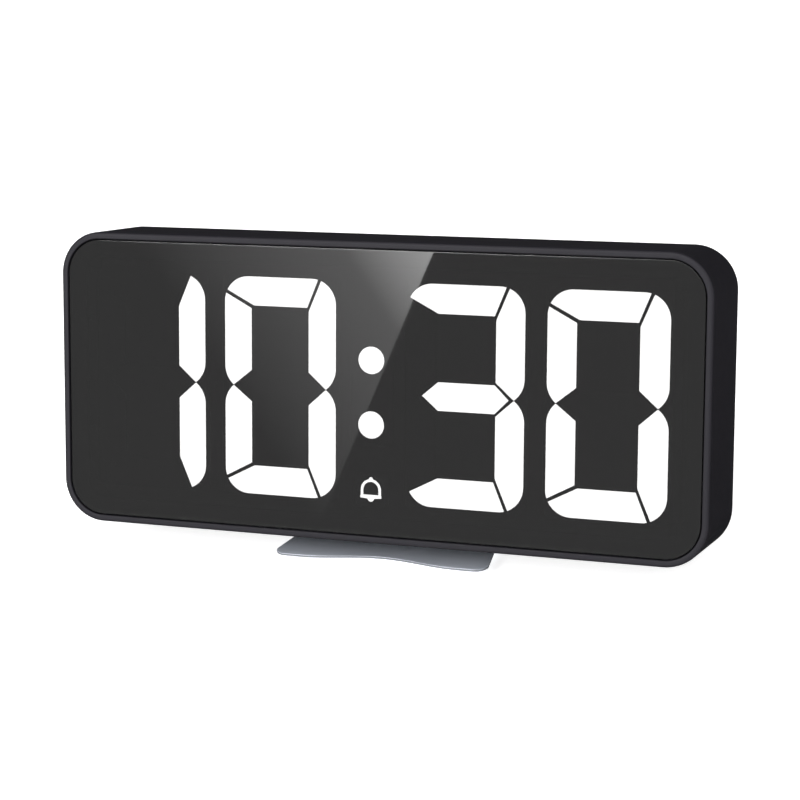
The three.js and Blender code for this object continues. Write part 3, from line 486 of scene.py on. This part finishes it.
# ------------------------------------------------------------------ rear cover
# A flat lid in the same matt plastic, set 0.2 mm inside the shell's back edge. It carries the battery bay,
# and has openings for the caps, the dimmer, the inlet, the sounder and the screws.
COVER = (22.4, 24.4)
ROW_Z = 29.0
BUTTONS = {"set": -40.0, "alarm": -27.0, "down": -14.0, "up": -1.0}
BUTTON_R = 3.2
SNOOZE_X, SNOOZE_HALF = 21.0, 13.0
DIMMER_X, DIMMER_HALF_W, DIMMER_HALF_H, DIMMER_TRAVEL = 52.0, 1.6, 1.3, 2.0
INLET_X, INLET_Z, INLET_HALF_W, INLET_HALF_H = 53.0, -24.0, 4.45, 1.6
SOUNDER_X, SOUNDER_Z = 63.0, 8.0
SCREW_X, SCREW_Z = 76.2, 30.0
BAY_Z, BAY_HALF_W, BAY_HALF_H, BAY_FLOOR, BAY_WALL = 5.0, 25.6, 16.6, 10.8, 2.4
DOOR_HALF_W, DOOR_HALF_H = 26.4, 17.4
GAP = 0.3
STAND_SCREW_X, STAND_SCREW_Z = 6.0, -26.5

screw_places = [(sx * SCREW_X, sz * SCREW_Z) for sz in (-1, 1) for sx in (-1, 1)]
slots = [
    rounded(3.6 if row % 2 == 0 else 4.8, 0.6, 0.59, SOUNDER_X, SOUNDER_Z + row * 2.4, 6)
    for row in range(-2, 3)
]
cover_holes = [
    *[disc(BUTTON_R + GAP, x, ROW_Z) for x in BUTTONS.values()],
    rounded(SNOOZE_HALF + GAP, BUTTON_R + GAP, BUTTON_R, SNOOZE_X, ROW_Z, 12),
    rounded(DIMMER_HALF_W + DIMMER_TRAVEL + GAP, DIMMER_HALF_H + GAP, 0.4, DIMMER_X, ROW_Z, 5),
    rounded(INLET_HALF_W + 0.4, INLET_HALF_H + 0.4, 1.9, INLET_X, INLET_Z, 12),
    rounded(DOOR_HALF_W + GAP, DOOR_HALF_H + GAP, 1.2, 0, BAY_Z, 6),
    *slots,
    *[disc(2.4, x, z, 32) for x, z in screw_places],
]
lid = plate(rounded(**PANEL), *COVER, 0.2, cover_holes, steps=3, hole_soft=0.18)
seats = [
    plate(disc(2.7, x, z, 32), COVER[1] - 1.9, COVER[1] - 1.25, 0.05, [disc(1.3, x, z, 16)], steps=2)
    for x, z in screw_places
]
bay_outer = rounded(BAY_HALF_W + BAY_WALL, BAY_HALF_H + BAY_WALL, 1.0, 0, BAY_Z, 4)
bay_inner = rounded(BAY_HALF_W, BAY_HALF_H, 0.8, 0, BAY_Z, 4)
bay_wall = plate(bay_outer, BAY_FLOOR - 0.8, COVER[0] - 0.05, 0.1, [bay_inner], steps=2)
bay_floor = plate(bay_inner * 1.01 - np.array([0, 0.01 * BAY_Z]), BAY_FLOOR - 0.7, BAY_FLOOR, 0.05, steps=2)
COVER_FINISH = moulded(
    "cover_matt", grey(0.022, -0.04), grey(0.015, -0.04), 0.66, texture=0.2, depth=0.02, specular=0.28
)
piece("back", together(lid, *seats, bay_wall, bay_floor), "clock", COVER_FINISH, ["rear_cover"])

# ------------------------------------------------------------------ battery door
# A flat lid over the bay that tilts out on its lower edge. A scoop at its top takes a thumb, and five
# short ribs below it give grip.


def softened(node, name, width, body, material, segments=3, angle=25):
    """A CAD solid's copy with its points merged, flat faces joined and its sharp edges rounded."""
    mesh = nodes[node].data.copy()
    mesh.name = name
    shell = bmesh.new()
    shell.from_mesh(mesh)
    bmesh.ops.remove_doubles(shell, verts=shell.verts, dist=1e-6)
    bmesh.ops.dissolve_limit(shell, angle_limit=math.radians(1), verts=shell.verts, edges=shell.edges)
    shell.to_mesh(mesh)
    shell.free()
    mesh.materials.clear()
    mesh.materials.append(material)
    mesh.polygons.foreach_set("use_smooth", [True] * len(mesh.polygons))
    obj = bpy.data.objects.new(name, mesh)
    bpy.context.scene.collection.objects.link(obj)
    bevel = obj.modifiers.new("broken edges", "BEVEL")
    bevel.width, bevel.segments = width * MM, segments
    bevel.limit_method, bevel.angle_limit = "ANGLE", math.radians(angle)
    bevel.harden_normals = True
    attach(obj, body)
    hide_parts(node)
    return obj


softened("battery_door", "door", 0.2, "battery_door", COVER_FINISH)
GRIP_HALF_W, GRIP_HALF_H, GRIP_TOP_Z, GRIP_PITCH, GRIP_PROUD = 5.5, 0.35, BAY_Z + 4.6, 1.5, 0.35
ribs = [
    plate(
        rounded(GRIP_HALF_W, GRIP_HALF_H, GRIP_HALF_H - 0.01, 0, GRIP_TOP_Z - GRIP_PITCH * k, 6),
        COVER[1] - 0.1, COVER[1] + GRIP_PROUD, 0.2, steps=4,
    )
    for k in range(5)
]
piece("door_ribs", together(*ribs), "battery_door", COVER_FINISH)

# ------------------------------------------------------------------ buttons
# Four round caps and a wide snooze bar stand a millimetre proud. Each cap is dished for a fingertip and
# carries a small printed sign: a ring to set, a bell, and arrows down and up.
PROUD = 1.0
CAP_TOP = COVER[1] + PROUD
CAP_FINISH = moulded(
    "cap_satin", grey(0.045, -0.04), grey(0.034, -0.04), 0.48, texture=0.1, depth=0.006, specular=0.4
)
PRINT = moulded("printed_white", grey(0.62), grey(0.52), 0.55, texture=0.15, depth=0.004, specular=0.3)


def cap(x):
    """A turned cap: its wall, a rounded shoulder, a shallow dish on top, and a flange below the cover."""
    r, soft, dish = BUTTON_R, 0.35, 0.22
    top = np.linspace(r - soft, 0.12, 10)
    rows = np.concatenate([
        [(0.3, 20.9), (r, 20.9), (r, COVER[0] - 1.1), (4.2, COVER[0] - 1.1), (4.2, COVER[0] - GAP)],
        [(r, COVER[0] - GAP)],
        arc(r - soft, CAP_TOP - soft, soft, 0, 90, 6),
        np.stack([top, CAP_TOP - dish * (1 - (top / (r - soft)) ** 2)], -1)[1:],
    ])
    t = np.linspace(0, 2 * math.pi, 64, endpoint=False)
    r_all, y_all = rows[:, None, 0], rows[:, None, 1]
    return grid(np.stack([x + r_all * np.cos(t), y_all + 0 * t, ROW_Z + r_all * np.sin(t)], -1))


def sign(kind, x):
    """A thin printed sign that lies in the cap's dish."""
    near, far = CAP_TOP - 0.24, CAP_TOP - 0.12
    if kind == "set":
        return plate(disc(1.25, x, ROW_Z, 32), near, far, 0.02, [disc(0.8, x, ROW_Z, 32)], steps=2)
    if kind == "alarm":
        outer, hollow = bell_outlines(0.55)
        place = np.array([x, ROW_Z])
        return plate(outer + place, near, far, 0.01, [hollow + place], steps=2)
    tip = 1 if kind == "up" else -1
    arrow = np.array([(-1.2, -0.7 * tip), (1.2, -0.7 * tip), (0, 1.2 * tip)])[::tip]
    return plate(arrow + np.array([x, ROW_Z]), near, far, 0.02, steps=2)


for kind, x in BUTTONS.items():
    piece(f"cap_{kind}", cap(x), f"{kind}_cap", CAP_FINISH, [f"button_{kind}"])
    piece(f"sign_{kind}", sign(kind, x), f"{kind}_cap", PRINT)

BAR_FRONT, BAR_FOOT_FRONT, BAR_FOOT_HALF_H = 21.2, 21.3, 4.0
bar_outline = rounded(SNOOZE_HALF, BUTTON_R, BUTTON_R - 0.01, SNOOZE_X, ROW_Z, 16)
bar_foot_outline = rounded(SNOOZE_HALF + 1, BAR_FOOT_HALF_H, BUTTON_R, SNOOZE_X, ROW_Z, 8)
bar = plate(bar_outline, BAR_FRONT, CAP_TOP, 0.4, steps=6)
bar_foot = plate(bar_foot_outline, BAR_FOOT_FRONT, COVER[0] - GAP, 0.1, steps=2)
piece("snooze_bar", together(bar, bar_foot), "snooze_bar", CAP_FINISH, ["button_snooze"])
moon = np.concatenate([arc(0, 0, 1.35, 50, 310, 24), arc(0.75, 0, 1.05, 285, 75, 20)])
moon_sign = plate(moon + np.array([SNOOZE_X, ROW_Z]), CAP_TOP - 0.03, CAP_TOP + 0.02, 0.01, steps=2)
piece("sign_snooze", moon_sign, "snooze_bar", PRINT)

# ------------------------------------------------------------------ dimmer
# A three-position slider sets the display's brightness. Its moulded knob has three fine grip ribs on top.
softened("dimmer_slider", "dimmer_knob", 0.15, "dimmer_knob", CAP_FINISH)
KNOB_TOP, RIB_PITCH, RIB_HALF_W, RIB_PROUD = COVER[1] + 0.8, 0.9, 0.19, 0.2
knob_ribs = [
    plate(
        rounded(RIB_HALF_W, DIMMER_HALF_H - 0.2, RIB_HALF_W - 0.01, DIMMER_X + k * RIB_PITCH, ROW_Z, 5),
        KNOB_TOP - 0.1, KNOB_TOP + RIB_PROUD, 0.1, steps=3,
    )
    for k in (-1, 0, 1)
]
piece("dimmer_ribs", together(*knob_ribs), "dimmer_knob", CAP_FINISH)

# ------------------------------------------------------------------ inlet
# The power inlet's drawn metal shell with its contact tongue, nickel plated and a little worn at the mouth.


def plated(wire):
    scuff = wire.noise(0.8, 5.0)
    return {
        "Base Color": wire.mix(scuff, (0.52, 0.50, 0.46, 1), (0.68, 0.67, 0.63, 1)),
        "Roughness": (scuff * 0.18 + 0.2).clamped(),
        "Normal": wire.bump(wire.noise(0.2, 2.0), 0.004),
    }


NICKEL = finish("nickel_plate", plated, Metallic=1.0)
INLET_METAL, TONGUE_HALF, TONGUE_THICK_HALF = 0.3, 3.3, 0.35
SHELL_DEPTH, BASE_DEPTH, TONGUE_DEPTH = (17.3, 23.9), (16.3, 17.4), (16.8, 23.1)


def inlet_outline(inset, r):
    return rounded(INLET_HALF_W - inset, INLET_HALF_H - inset, r, INLET_X, INLET_Z, 12)


mouth = inlet_outline(INLET_METAL, INLET_HALF_H - INLET_METAL - 0.01)
shell = plate(inlet_outline(0, INLET_HALF_H - 0.01), *SHELL_DEPTH, 0.1, [mouth], steps=3)
base = plate(inlet_outline(0.1, 1.4), *BASE_DEPTH, 0.1, steps=2)
tongue = plate(rounded(TONGUE_HALF, TONGUE_THICK_HALF, 0.2, INLET_X, INLET_Z, 4), *TONGUE_DEPTH, 0.1, steps=2)
piece("inlet", together(shell, base, tongue), "clock", NICKEL, ["power_inlet"])

# ------------------------------------------------------------------ screws
# Zinc-plated pan heads with a cross recess hold the cover in its four corners and the stand on its tongue.


def zinc(wire):
    stain = wire.noise(1.2, 4.0)
    return {
        "Base Color": wire.mix(stain, (0.30, 0.31, 0.33, 1), (0.46, 0.47, 0.49, 1)),
        "Roughness": (stain * 0.2 + 0.28).clamped(),
        "Normal": wire.bump(wire.noise(0.15, 2.0), 0.004),
    }


ZINC = finish("zinc_plate", zinc, Metallic=1.0)


def pan_head(x, z, seat, r, height, shank_r, shank):
    """A screw whose head's height falls off as a circle's does, less a cross-shaped recess with soft sides.

    The recess is deepest where either arm's distance is least, and fades out at 0.62 of the radius."""
    t = np.linspace(0, 2 * math.pi, 72, endpoint=False)
    out = np.linspace(0.02, 1, 26)[:, None]
    across, along = out * r * np.cos(t), out * r * np.sin(t)
    dome = height * (1 - 0.55 * out ** 4 + 0 * t)
    arm = np.minimum(np.abs(across), np.abs(along))
    inside = 1 / (1 + np.exp((arm - 0.13 * r) / (0.018 * r)))
    reach = 1 / (1 + np.exp((out - 0.62) / 0.02))
    top = seat + dome - 0.55 * height * inside * reach
    head = np.stack([x + across, top, z + along], -1)
    below = [(r, seat), (shank_r, seat), (shank_r, seat - shank), (0.05, seat - shank - shank_r)]
    under = [
        np.stack([x + q * np.cos(t), y + 0 * t, z + q * np.sin(t)], -1) for q, y in below
    ]
    return grid(np.concatenate([head, np.array(under)]))


for number, (x, z) in enumerate(screw_places):
    made = pan_head(x, z, COVER[1] - 1.1, 2.0, 1.0, 0.6, 6.4)
    piece(f"corner_screw_{number + 1}", made, "clock", ZINC, [f"cover_screw_{number + 1}"], sharp=60)
for number, sx in enumerate((-1, 1)):
    made = pan_head(sx * STAND_SCREW_X, STAND_SCREW_Z, COVER[1] + GAP + 0.65, 2.3, 1.15, 0.8, 5.2)
    piece(f"tongue_screw_{number + 1}", made, "clock", ZINC, [f"stand_screw_{number + 1}"], sharp=60)

# ------------------------------------------------------------------ stand
# One blank of 0.6 mm sheet, with a waved front edge and a tongue lanced out of its middle and bent up
# behind the cover. It is coated satin silver.
SHEET, SHEET_SOFT, FOOT_TOP = 0.6, 0.15, -42.45
FOOT_X, FRONT_HALF, REAR_HALF, FRONT_CORNER, REAR_CORNER = -0.75, 27.6, 21.4, 3.0, 5.0
LOBE, NOTCH, NOTCH_HALF, FOOT_REAR = -2.1, 2.7, 20.5, 45.0
TONGUE_HALF_W, TONGUE_TOP, TONGUE_CORNER, TONGUE_HOLE, WINDOW_REAR = 10.0, -21.5, 3.0, 1.3, 38.0
BEND_R, BEND_RUN, BEND_PROUD = 1.5, 1.0, 0.01
TONGUE_FRONT = COVER[1] + GAP
BEND_Z = FOOT_TOP + BEND_R
BEND_Y = (TONGUE_FRONT - BEND_R + math.sin(LEAN) * BEND_Z) / math.cos(LEAN)


def level_and_plumb(x, y, z):
    """Metres in the row's frame, from millimetres back and up from the face's middle."""
    return np.stack([x, y + FACE_Y, z + FACE_Z], -1) * MM


def foot_plate():
    """The level part: its front edge dips back in the middle by the square of a cosine."""
    x = np.linspace(-NOTCH_HALF, NOTCH_HALF, 57)
    front, rear = FRONT_HALF - FRONT_CORNER, REAR_HALF - REAR_CORNER
    outline = np.concatenate([
        np.stack([x, LOBE + NOTCH * np.cos(math.pi * x / (2 * NOTCH_HALF)) ** 2], -1),
        arc(front, LOBE + FRONT_CORNER, FRONT_CORNER, -90, 0, 12),
        arc(rear, FOOT_REAR - REAR_CORNER, REAR_CORNER, 0, 90, 16),
        arc(-rear, FOOT_REAR - REAR_CORNER, REAR_CORNER, 90, 180, 16),
        arc(-front, LOBE + FRONT_CORNER, FRONT_CORNER, 180, 270, 12),
    ])
    half = (WINDOW_REAR - BEND_Y) / 2
    lanced = rounded(TONGUE_HALF_W + 0.6, half, 0.3, 0, BEND_Y + half, 4)
    verts, faces = plate(outline + [FOOT_X, 0], FOOT_TOP - SHEET, FOOT_TOP, SHEET_SOFT, [lanced])
    return level_and_plumb(verts[:, 0], verts[:, 2], verts[:, 1]), faces


def foot_bend():
    """The sheet's section turned about the bend's centre, with a short straight run before and after it."""
    section = rounded(TONGUE_HALF_W + BEND_PROUD, SHEET / 2 + BEND_PROUD, SHEET_SOFT, steps=4)
    lifted = -math.degrees(LEAN)
    turn = np.radians([-90, *np.linspace(-90, lifted, 16), lifted])[:, None]
    run = np.array([-BEND_RUN, *[0] * 16, BEND_RUN])[:, None]
    r = BEND_R + SHEET / 2 + section[None, :, 1]
    y = BEND_Y + r * np.cos(turn) - run * np.sin(turn)
    z = BEND_Z + r * np.sin(turn) + run * np.cos(turn)
    verts, faces = grid(np.stack([section[None, :, 0] + 0 * y, y, z], -1))
    return level_and_plumb(*verts.T), faces


def foot_tongue():
    """The leaning part, with two round top corners and two holes for its screws."""
    bottom = math.sin(LEAN) * BEND_Y + math.cos(LEAN) * BEND_Z
    side, top = TONGUE_HALF_W - TONGUE_CORNER, TONGUE_TOP - TONGUE_CORNER
    outline = np.concatenate([
        [(-TONGUE_HALF_W, bottom), (TONGUE_HALF_W, bottom)],
        arc(side, top, TONGUE_CORNER, 0, 90, 12), arc(-side, top, TONGUE_CORNER, 90, 180, 12),
    ])
    holes = [disc(TONGUE_HOLE, sx * STAND_SCREW_X, STAND_SCREW_Z, 24) for sx in (-1, 1)]
    verts, faces = plate(outline, TONGUE_FRONT, TONGUE_FRONT + SHEET, SHEET_SOFT, holes, hole_soft=0.08)
    return leaned(verts), faces


def satin(wire):
    """A satin coat: long fine brush lines across the sheet, with slow patches of duller metal.

    The plate's sheared edges, the steep faces low down, are painted darker: painted shade, not a different
    metal."""
    stretched = wire.node("ShaderNodeMapping", {}, {"Vector": wire.coords(), "Scale": (0.06, 1.0, 1.0)})
    lines = wire.noise(0.25, 3.0, stretched)
    patch = wire.noise(14.0, 3.0)
    height = wire.node("ShaderNodeSeparateXYZ", {}, {"Vector": wire.coords()}, out=2)
    steep = wire.node("ShaderNodeSeparateXYZ", {}, {"Vector": wire.coords("Normal")}, out=2)
    # Painted shade: the steep faces low on the plate, its edges, get a dark grey in place of the silver coat.
    edge_shade = (height < 2.2 * MM) * (steep.math("ABSOLUTE", steep) < 0.5)
    coat = wire.mix((patch * 0.6 + lines * 0.4).clamped(), (0.64, 0.68, 0.76, 1), (0.72, 0.76, 0.84, 1))
    return {
        "Base Color": wire.mix(edge_shade, coat, (0.19, 0.20, 0.22, 1)),
        "Roughness": (lines * 0.10 + patch * 0.08 + 0.27).clamped(),
        "Normal": wire.bump(lines, 0.003),
    }


SATIN = finish("satin_silver", satin, Metallic=0.35)
stand = together(foot_plate(), foot_bend(), foot_tongue())
piece("stand", stand, "clock", SATIN, ["stand_plate"], np.asarray)

# ------------------------------------------------------------------ pads
# Four black rubber pads are stuck under the foot's corners.
PAD_R, PAD_SOFT = 4.0, 0.3


def rubbery(wire):
    grain = wire.noise(0.3, 3.0)
    return {
        "Base Color": wire.mix(grain, (0.012, 0.012, 0.012, 1), (0.03, 0.03, 0.03, 1)),
        "Roughness": (grain * 0.15 + 0.75).clamped(),
        "Normal": wire.bump(grain, 0.02),
    }


RUBBER = finish("pad_rubber", rubbery)
for number in range(1, 5):
    low, high = (np.array(corner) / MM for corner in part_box(f"foot_pad_{number}"))
    middle = (low + high) / 2
    section = np.concatenate([
        [(0.2, low[2])],
        arc(PAD_R - PAD_SOFT, low[2] + PAD_SOFT, PAD_SOFT, -90, 0, 5),
        [(PAD_R, high[2]), (0.2, high[2])],
    ])
    t = np.linspace(0, 2 * math.pi, 48, endpoint=False)
    r, z = section[:, None, 0], section[:, None, 1]
    rows = np.stack([middle[0] + r * np.cos(t), middle[1] + r * np.sin(t), z + 0 * t], -1)
    piece(f"pad_{number}", grid(rows), "clock", RUBBER, [f"foot_pad_{number}"], standing)

# ------------------------------------------------------------------ batteries
# Three dry cells lie across the bay, turned end for end. Each has a printed jacket round a steel can, whose
# ends are bare, and sits between a cone spring and a plate.
CELL_R, CELL_BODY, CELL_NUB, CELL_Y, CELL_PITCH = 5.25, 43.7, 0.8, 16.35, 10.9
WIRE_R = 0.3
SPRING_TURNS, SPRING_START, SPRING_END, SPRING_LENGTH = 3.5, 3.6, 2.0, 5.4


def jacket(side):
    """A printed jacket: dark green, with a copper-coloured band at the positive end, which faces side."""

    def paint(wire):
        at = wire.node("ShaderNodeSeparateXYZ", {}, {"Vector": wire.coords()})
        band = at * side > 11.5 * MM
        speck = wire.noise(0.5, 3.0)
        colour = wire.mix(band, (0.02, 0.11, 0.06, 1), (0.42, 0.20, 0.07, 1))
        return {
            "Base Color": wire.mix(speck * 0.25, colour, (0.02, 0.02, 0.02, 1)),
            "Roughness": (speck * 0.15 + 0.22).clamped(),
            "Metallic": band * 0.6,
        }

    return paint


JACKETS = {-1: finish("cell_jacket_left", jacket(-1)), 1: finish("cell_jacket_right", jacket(1))}


def along_x(rows, z, steps=48):
    """A turned shape about the cell's axis, from (x, radius) pairs."""
    rows = np.asarray(rows, float)
    t = np.linspace(0, 2 * math.pi, steps, endpoint=False)
    x, r = rows[:, None, 0], rows[:, None, 1]
    return grid(np.stack([x + 0 * t, CELL_Y + r * np.cos(t), z + r * np.sin(t)], -1))


for number in range(3):
    side = -1 if number % 2 == 0 else 1
    z = BAY_Z + (1 - number) * CELL_PITCH
    tip = BAY_HALF_W - 1.0
    shoulder = tip - CELL_NUB
    flat_end = shoulder - CELL_BODY
    body_rows = [(flat_end + 0.25, 4.3), (flat_end, 4.7), (flat_end, 4.9), (flat_end + 0.3, CELL_R)]
    body_rows += [(shoulder - 0.3, CELL_R), (shoulder, 4.9), (shoulder, 4.6), (shoulder - 0.2, 4.2)]
    steel_rows = [(flat_end + 0.3, 0.3), (flat_end + 0.3, 4.35), (flat_end + 0.5, 4.35)]
    nub_rows = [(shoulder - 0.3, 4.25), (shoulder - 0.15, 4.25), (shoulder - 0.15, 2.2), (shoulder, 1.9)]
    nub_rows += [(tip - 0.2, 1.85), (tip, 1.6), (tip, 0.2)]

    def turned(rows):
        return along_x([(side * x, r) for x, r in rows], z)

    piece(f"cell_{number + 1}", turned(body_rows), "clock", JACKETS[side], [f"dry_cell_{number + 1}"])
    ends = together(turned(steel_rows), turned(nub_rows))
    piece(f"cell_{number + 1}_ends", ends, "clock", NICKEL)

    t = np.linspace(0, 1, 140)
    angle = t * SPRING_TURNS * 2 * math.pi
    radius = SPRING_START + (SPRING_END - SPRING_START) * t
    seat, end = BAY_HALF_W - GAP - WIRE_R, BAY_HALF_W - SPRING_LENGTH + WIRE_R
    centre = np.stack([
        -side * (seat + (end - seat) * t), CELL_Y + radius * np.cos(angle), z + radius * np.sin(angle),
    ], -1)
    ahead = np.gradient(centre, axis=0)
    ahead /= np.linalg.norm(ahead, axis=1, keepdims=True)
    axis = np.array([[1.0, 0, 0]])
    out = np.cross(ahead, axis)
    out /= np.linalg.norm(out, axis=1, keepdims=True)
    up = np.cross(out, ahead)
    q = np.linspace(0, 2 * math.pi, 12, endpoint=False)[None, :, None]
    wire_rows = centre[:, None] + WIRE_R * (np.cos(q) * out[:, None] + np.sin(q) * up[:, None])
    coil_of = [f"contact_spring_{number + 1}"]
    piece(f"spring_{number + 1}", grid(wire_rows), "clock", NICKEL, coil_of)
    softened(f"contact_plate_{number + 1}", f"plate_{number + 1}", 0.08, "clock", NICKEL, 2)

# ------------------------------------------------------------------ works inside
# The light box, the two boards and what is soldered on them are closed in, and seen only through the
# openings. They keep their CAD shapes, each with its own finish.


def masked(wire):
    """Green solder mask over a faint weave, with darker tracks."""
    weave = wire.node("ShaderNodeTexVoronoi", {"distance": "CHEBYCHEV"}, {"Scale": 1 / (1.2 * MM)})
    tracks = wire.noise(2.0, 2.0)
    return {
        "Base Color": wire.mix((tracks > 0.52) * 0.5, (0.008, 0.09, 0.035, 1), (0.012, 0.16, 0.06, 1)),
        "Roughness": (weave * 0.2 + 0.3).clamped(),
        "Normal": wire.bump(tracks, 0.02),
    }


def ribbon_paint(wire):
    stripe = wire.node("ShaderNodeTexWave", {}, {"Scale": 1 / (6.4 * MM), "Vector": wire.coords()})
    return {
        "Base Color": wire.mix(stripe, (0.55, 0.53, 0.46, 1), (0.70, 0.68, 0.62, 1)),
        "Roughness": (stripe * 0.1 + 0.45).clamped(),
    }


FINISHES = {
    "light_box": moulded("light_box_black", grey(0.004), grey(0.003), 0.75, specular=0.08),
    "board": finish("board_green", masked),
    "chip": moulded("chip_epoxy", grey(0.02), grey(0.012), 0.6),
    "nickel": NICKEL,
    "coin": NICKEL,
    "ribbon": finish("ribbon_cream", ribbon_paint),
    "screw": ZINC,
}
slot_of = {row["node"]: row["material_slot"] for row in frame["record"]["subparts"]}
for name, node in nodes.items():
    if not node.hide_render:
        node.data.materials.clear()
        node.data.materials.append(FINISHES[slot_of[name]])

# ------------------------------------------------------------------ studio
# A pale floor and soft light from the front and above, with a light panel lying behind the clock so that
# its black back can be read.
CAMERA_AZ, CAMERA_EL, CAMERA_ROLL = math.radians(20.857), math.radians(8.115), math.radians(0.334)
CAMERA_AT = np.array([199.44, -503.55, 75.79])
FOCAL = 103.69

camera = bpy.data.cameras.new("camera")
camera.lens, camera.sensor_width = FOCAL, 36.0
camera_obj = bpy.data.objects.new("camera", camera)
bpy.context.scene.collection.objects.link(camera_obj)
forward = np.array([
    -math.sin(CAMERA_AZ) * math.cos(CAMERA_EL),
    math.cos(CAMERA_AZ) * math.cos(CAMERA_EL),
    -math.sin(CAMERA_EL),
])
right = np.cross(forward, [0, 0, 1.0])
right /= np.linalg.norm(right)
up = np.cross(right, forward)
c, s = math.cos(CAMERA_ROLL), math.sin(CAMERA_ROLL)
right, up = c * right + s * up, c * up - s * right
turn = leaned(np.array([right, up, -forward])) - leaned(np.zeros((3, 3)))
matrix = np.eye(4)
matrix[:3, :3] = (turn / MM).T
matrix[:3, 3] = leaned(CAMERA_AT[None])[0]
camera_obj.matrix_world = Matrix(matrix.tolist())
bpy.context.scene.camera = camera_obj

floor_mesh = bpy.data.meshes.new("floor")
FLOOR_HALF = 6.0
floor_corners = [(sx * FLOOR_HALF, sy * FLOOR_HALF, 0) for sx, sy in ((-1, -1), (1, -1), (1, 1), (-1, 1))]
floor_mesh.from_pydata(floor_corners, [], [(0, 1, 2, 3)])
floor = bpy.data.objects.new("floor", floor_mesh)
bpy.context.scene.collection.objects.link(floor)
floor_mesh.materials.append(finish(
    "floor_white", None, Base_Color=grey(0.8), Roughness=0.9, Emission_Color=grey(1.0), Emission_Strength=0.8,
))
floor.visible_glossy = False
floor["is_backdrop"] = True

# A round white wall stands behind everything, for the eye only: it lights nothing and casts no shadow.
WALL_R, WALL_TOP = 5.5, 6.0
around = np.linspace(0, 2 * math.pi, 96, endpoint=False)
hoop = np.stack([WALL_R * np.cos(around), WALL_R * np.sin(around), 0 * around], -1)
wall_verts, wall_faces = grid([hoop, hoop + [0, 0, WALL_TOP]], ends=(False, False))
wall_mesh = bpy.data.meshes.new("wall")
wall_mesh.from_pydata(wall_verts.tolist(), [], wall_faces)
wall_mesh.materials.append(finish(
    "wall_white", None, Base_Color=grey(0.8), Roughness=0.9, Emission_Color=grey(1.0), Emission_Strength=1.0,
))
wall = bpy.data.objects.new("wall", wall_mesh)
bpy.context.scene.collection.objects.link(wall)
for ray in ("diffuse", "glossy", "transmission", "shadow", "volume_scatter"):
    setattr(wall, f"visible_{ray}", False)
wall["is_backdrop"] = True

world = bpy.data.worlds.new("studio")
world.use_nodes = True
bpy.context.scene.world = world
sky = Wire(world.node_tree)
background = world.node_tree.nodes["Background"]
background.inputs["Color"].default_value = (1, 1, 1, 1)
SKY = 0.73
direction = sky.node("ShaderNodeSeparateXYZ", {}, {"Vector": sky.coords("Generated")}, out=1)
level = sky.node("ShaderNodeMapRange", {"interpolation_type": "SMOOTHSTEP"}, {
    "Value": direction, "From Min": -0.6, "From Max": 0.2, "To Min": SKY, "To Max": 0.02,
})
sky.tree.links.new(level.socket, background.inputs["Strength"])

for name, spot, aim, size, power in (
    ("key", (-0.3, -0.8, 1.1), (0, 0, 0.04), 0.9, 6.0),
    ("fill", (0.9, -0.5, 0.9), (0, 0, 0.04), 0.9, 6.0),
    ("top", (0.1, -0.7, 1.2), (0, 0, 0), 1.0, 6.0),
    ("low", (-0.35, -0.8, 0.42), (0, -0.02, 0), 0.35, 6.0),
    ("rear", (0, 0.14, 0.002), (0, 0.14, 1), 0.16, 0.18),
):
    lamp = bpy.data.lights.new(name, "AREA")
    lamp.shape, lamp.size, lamp.energy = "DISK", size, power
    lamp_obj = bpy.data.objects.new(name, lamp)
    lamp_obj.location = spot
    lamp_obj.rotation_euler = (Vector(aim) - Vector(spot)).to_track_quat("-Z", "Y").to_euler()
    bpy.context.scene.collection.objects.link(lamp_obj)

# A scrim left of the camera, cut on the slant and graded, that shows only in glossy surfaces. It is laid
# out on the lens as it should be seen there, then thrown out from the camera's mirror image.
SCRIM = [(20.2, 45.0), (-100.0, 45.0), (-100.0, -45.0), (-18.5, -45.0)]
SCRIM_FAR = 1.8
SCRIM_SLOPE = (0.813, 0.581)
mirror = CAMERA_AT * [1, -1, 1] + [0, 2 * LENS_FRONT, 0]
seen = np.array([(x, LENS_FRONT, z) for x, z in SCRIM])
scrim_mesh = bpy.data.meshes.new("scrim")
scrim_mesh.from_pydata((leaned(mirror + SCRIM_FAR * (seen - mirror))).tolist(), [], [(0, 1, 2, 3)])
scrim = bpy.data.objects.new("scrim", scrim_mesh)
bpy.context.scene.collection.objects.link(scrim)


def graded(name):
    """Light that rises along one slanting direction: slowly at first, then steeply near the cut edge.

    The direction is given on the lens, so it is scaled down by the throw and turned with the clock."""
    material = bpy.data.materials.new(name)
    material.use_nodes = True
    tree = material.node_tree
    tree.nodes.clear()
    wire = Wire(tree)
    across = np.array([SCRIM_SLOPE[0], 0, SCRIM_SLOPE[1]]) / SCRIM_FAR
    turned = (leaned(across) - leaned(np.zeros(3))) / MM
    origin = leaned(mirror)
    offset = float(np.dot(mirror, [SCRIM_SLOPE[0], 0, SCRIM_SLOPE[1]]))
    away = wire.node("ShaderNodeVectorMath", {"operation": "SUBTRACT"}, {0: wire.coords(), 1: origin})
    along = wire.node("ShaderNodeVectorMath", {"operation": "DOT_PRODUCT"}, {0: away, 1: turned}, out="Value")
    height = along / MM + offset
    low = ((height + 30) / 44).clamped() * 1.85
    high = ((height - 14) / 18).clamped(0.0, 1.2) * 6.1
    glow = wire.node("ShaderNodeEmission", {}, {"Strength": low + high + SKY})
    wire.node("ShaderNodeOutputMaterial", {}, {"Surface": glow}, out=None)
    return material


scrim_mesh.materials.append(graded("scrim_light"))
for ray in ("camera", "diffuse", "transmission", "shadow", "volume_scatter"):
    setattr(scrim, f"visible_{ray}", False)
scrim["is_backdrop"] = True

bpy.context.scene.view_settings.view_transform = "Standard"

# ------------------------------------------------------------------ end
low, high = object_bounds()
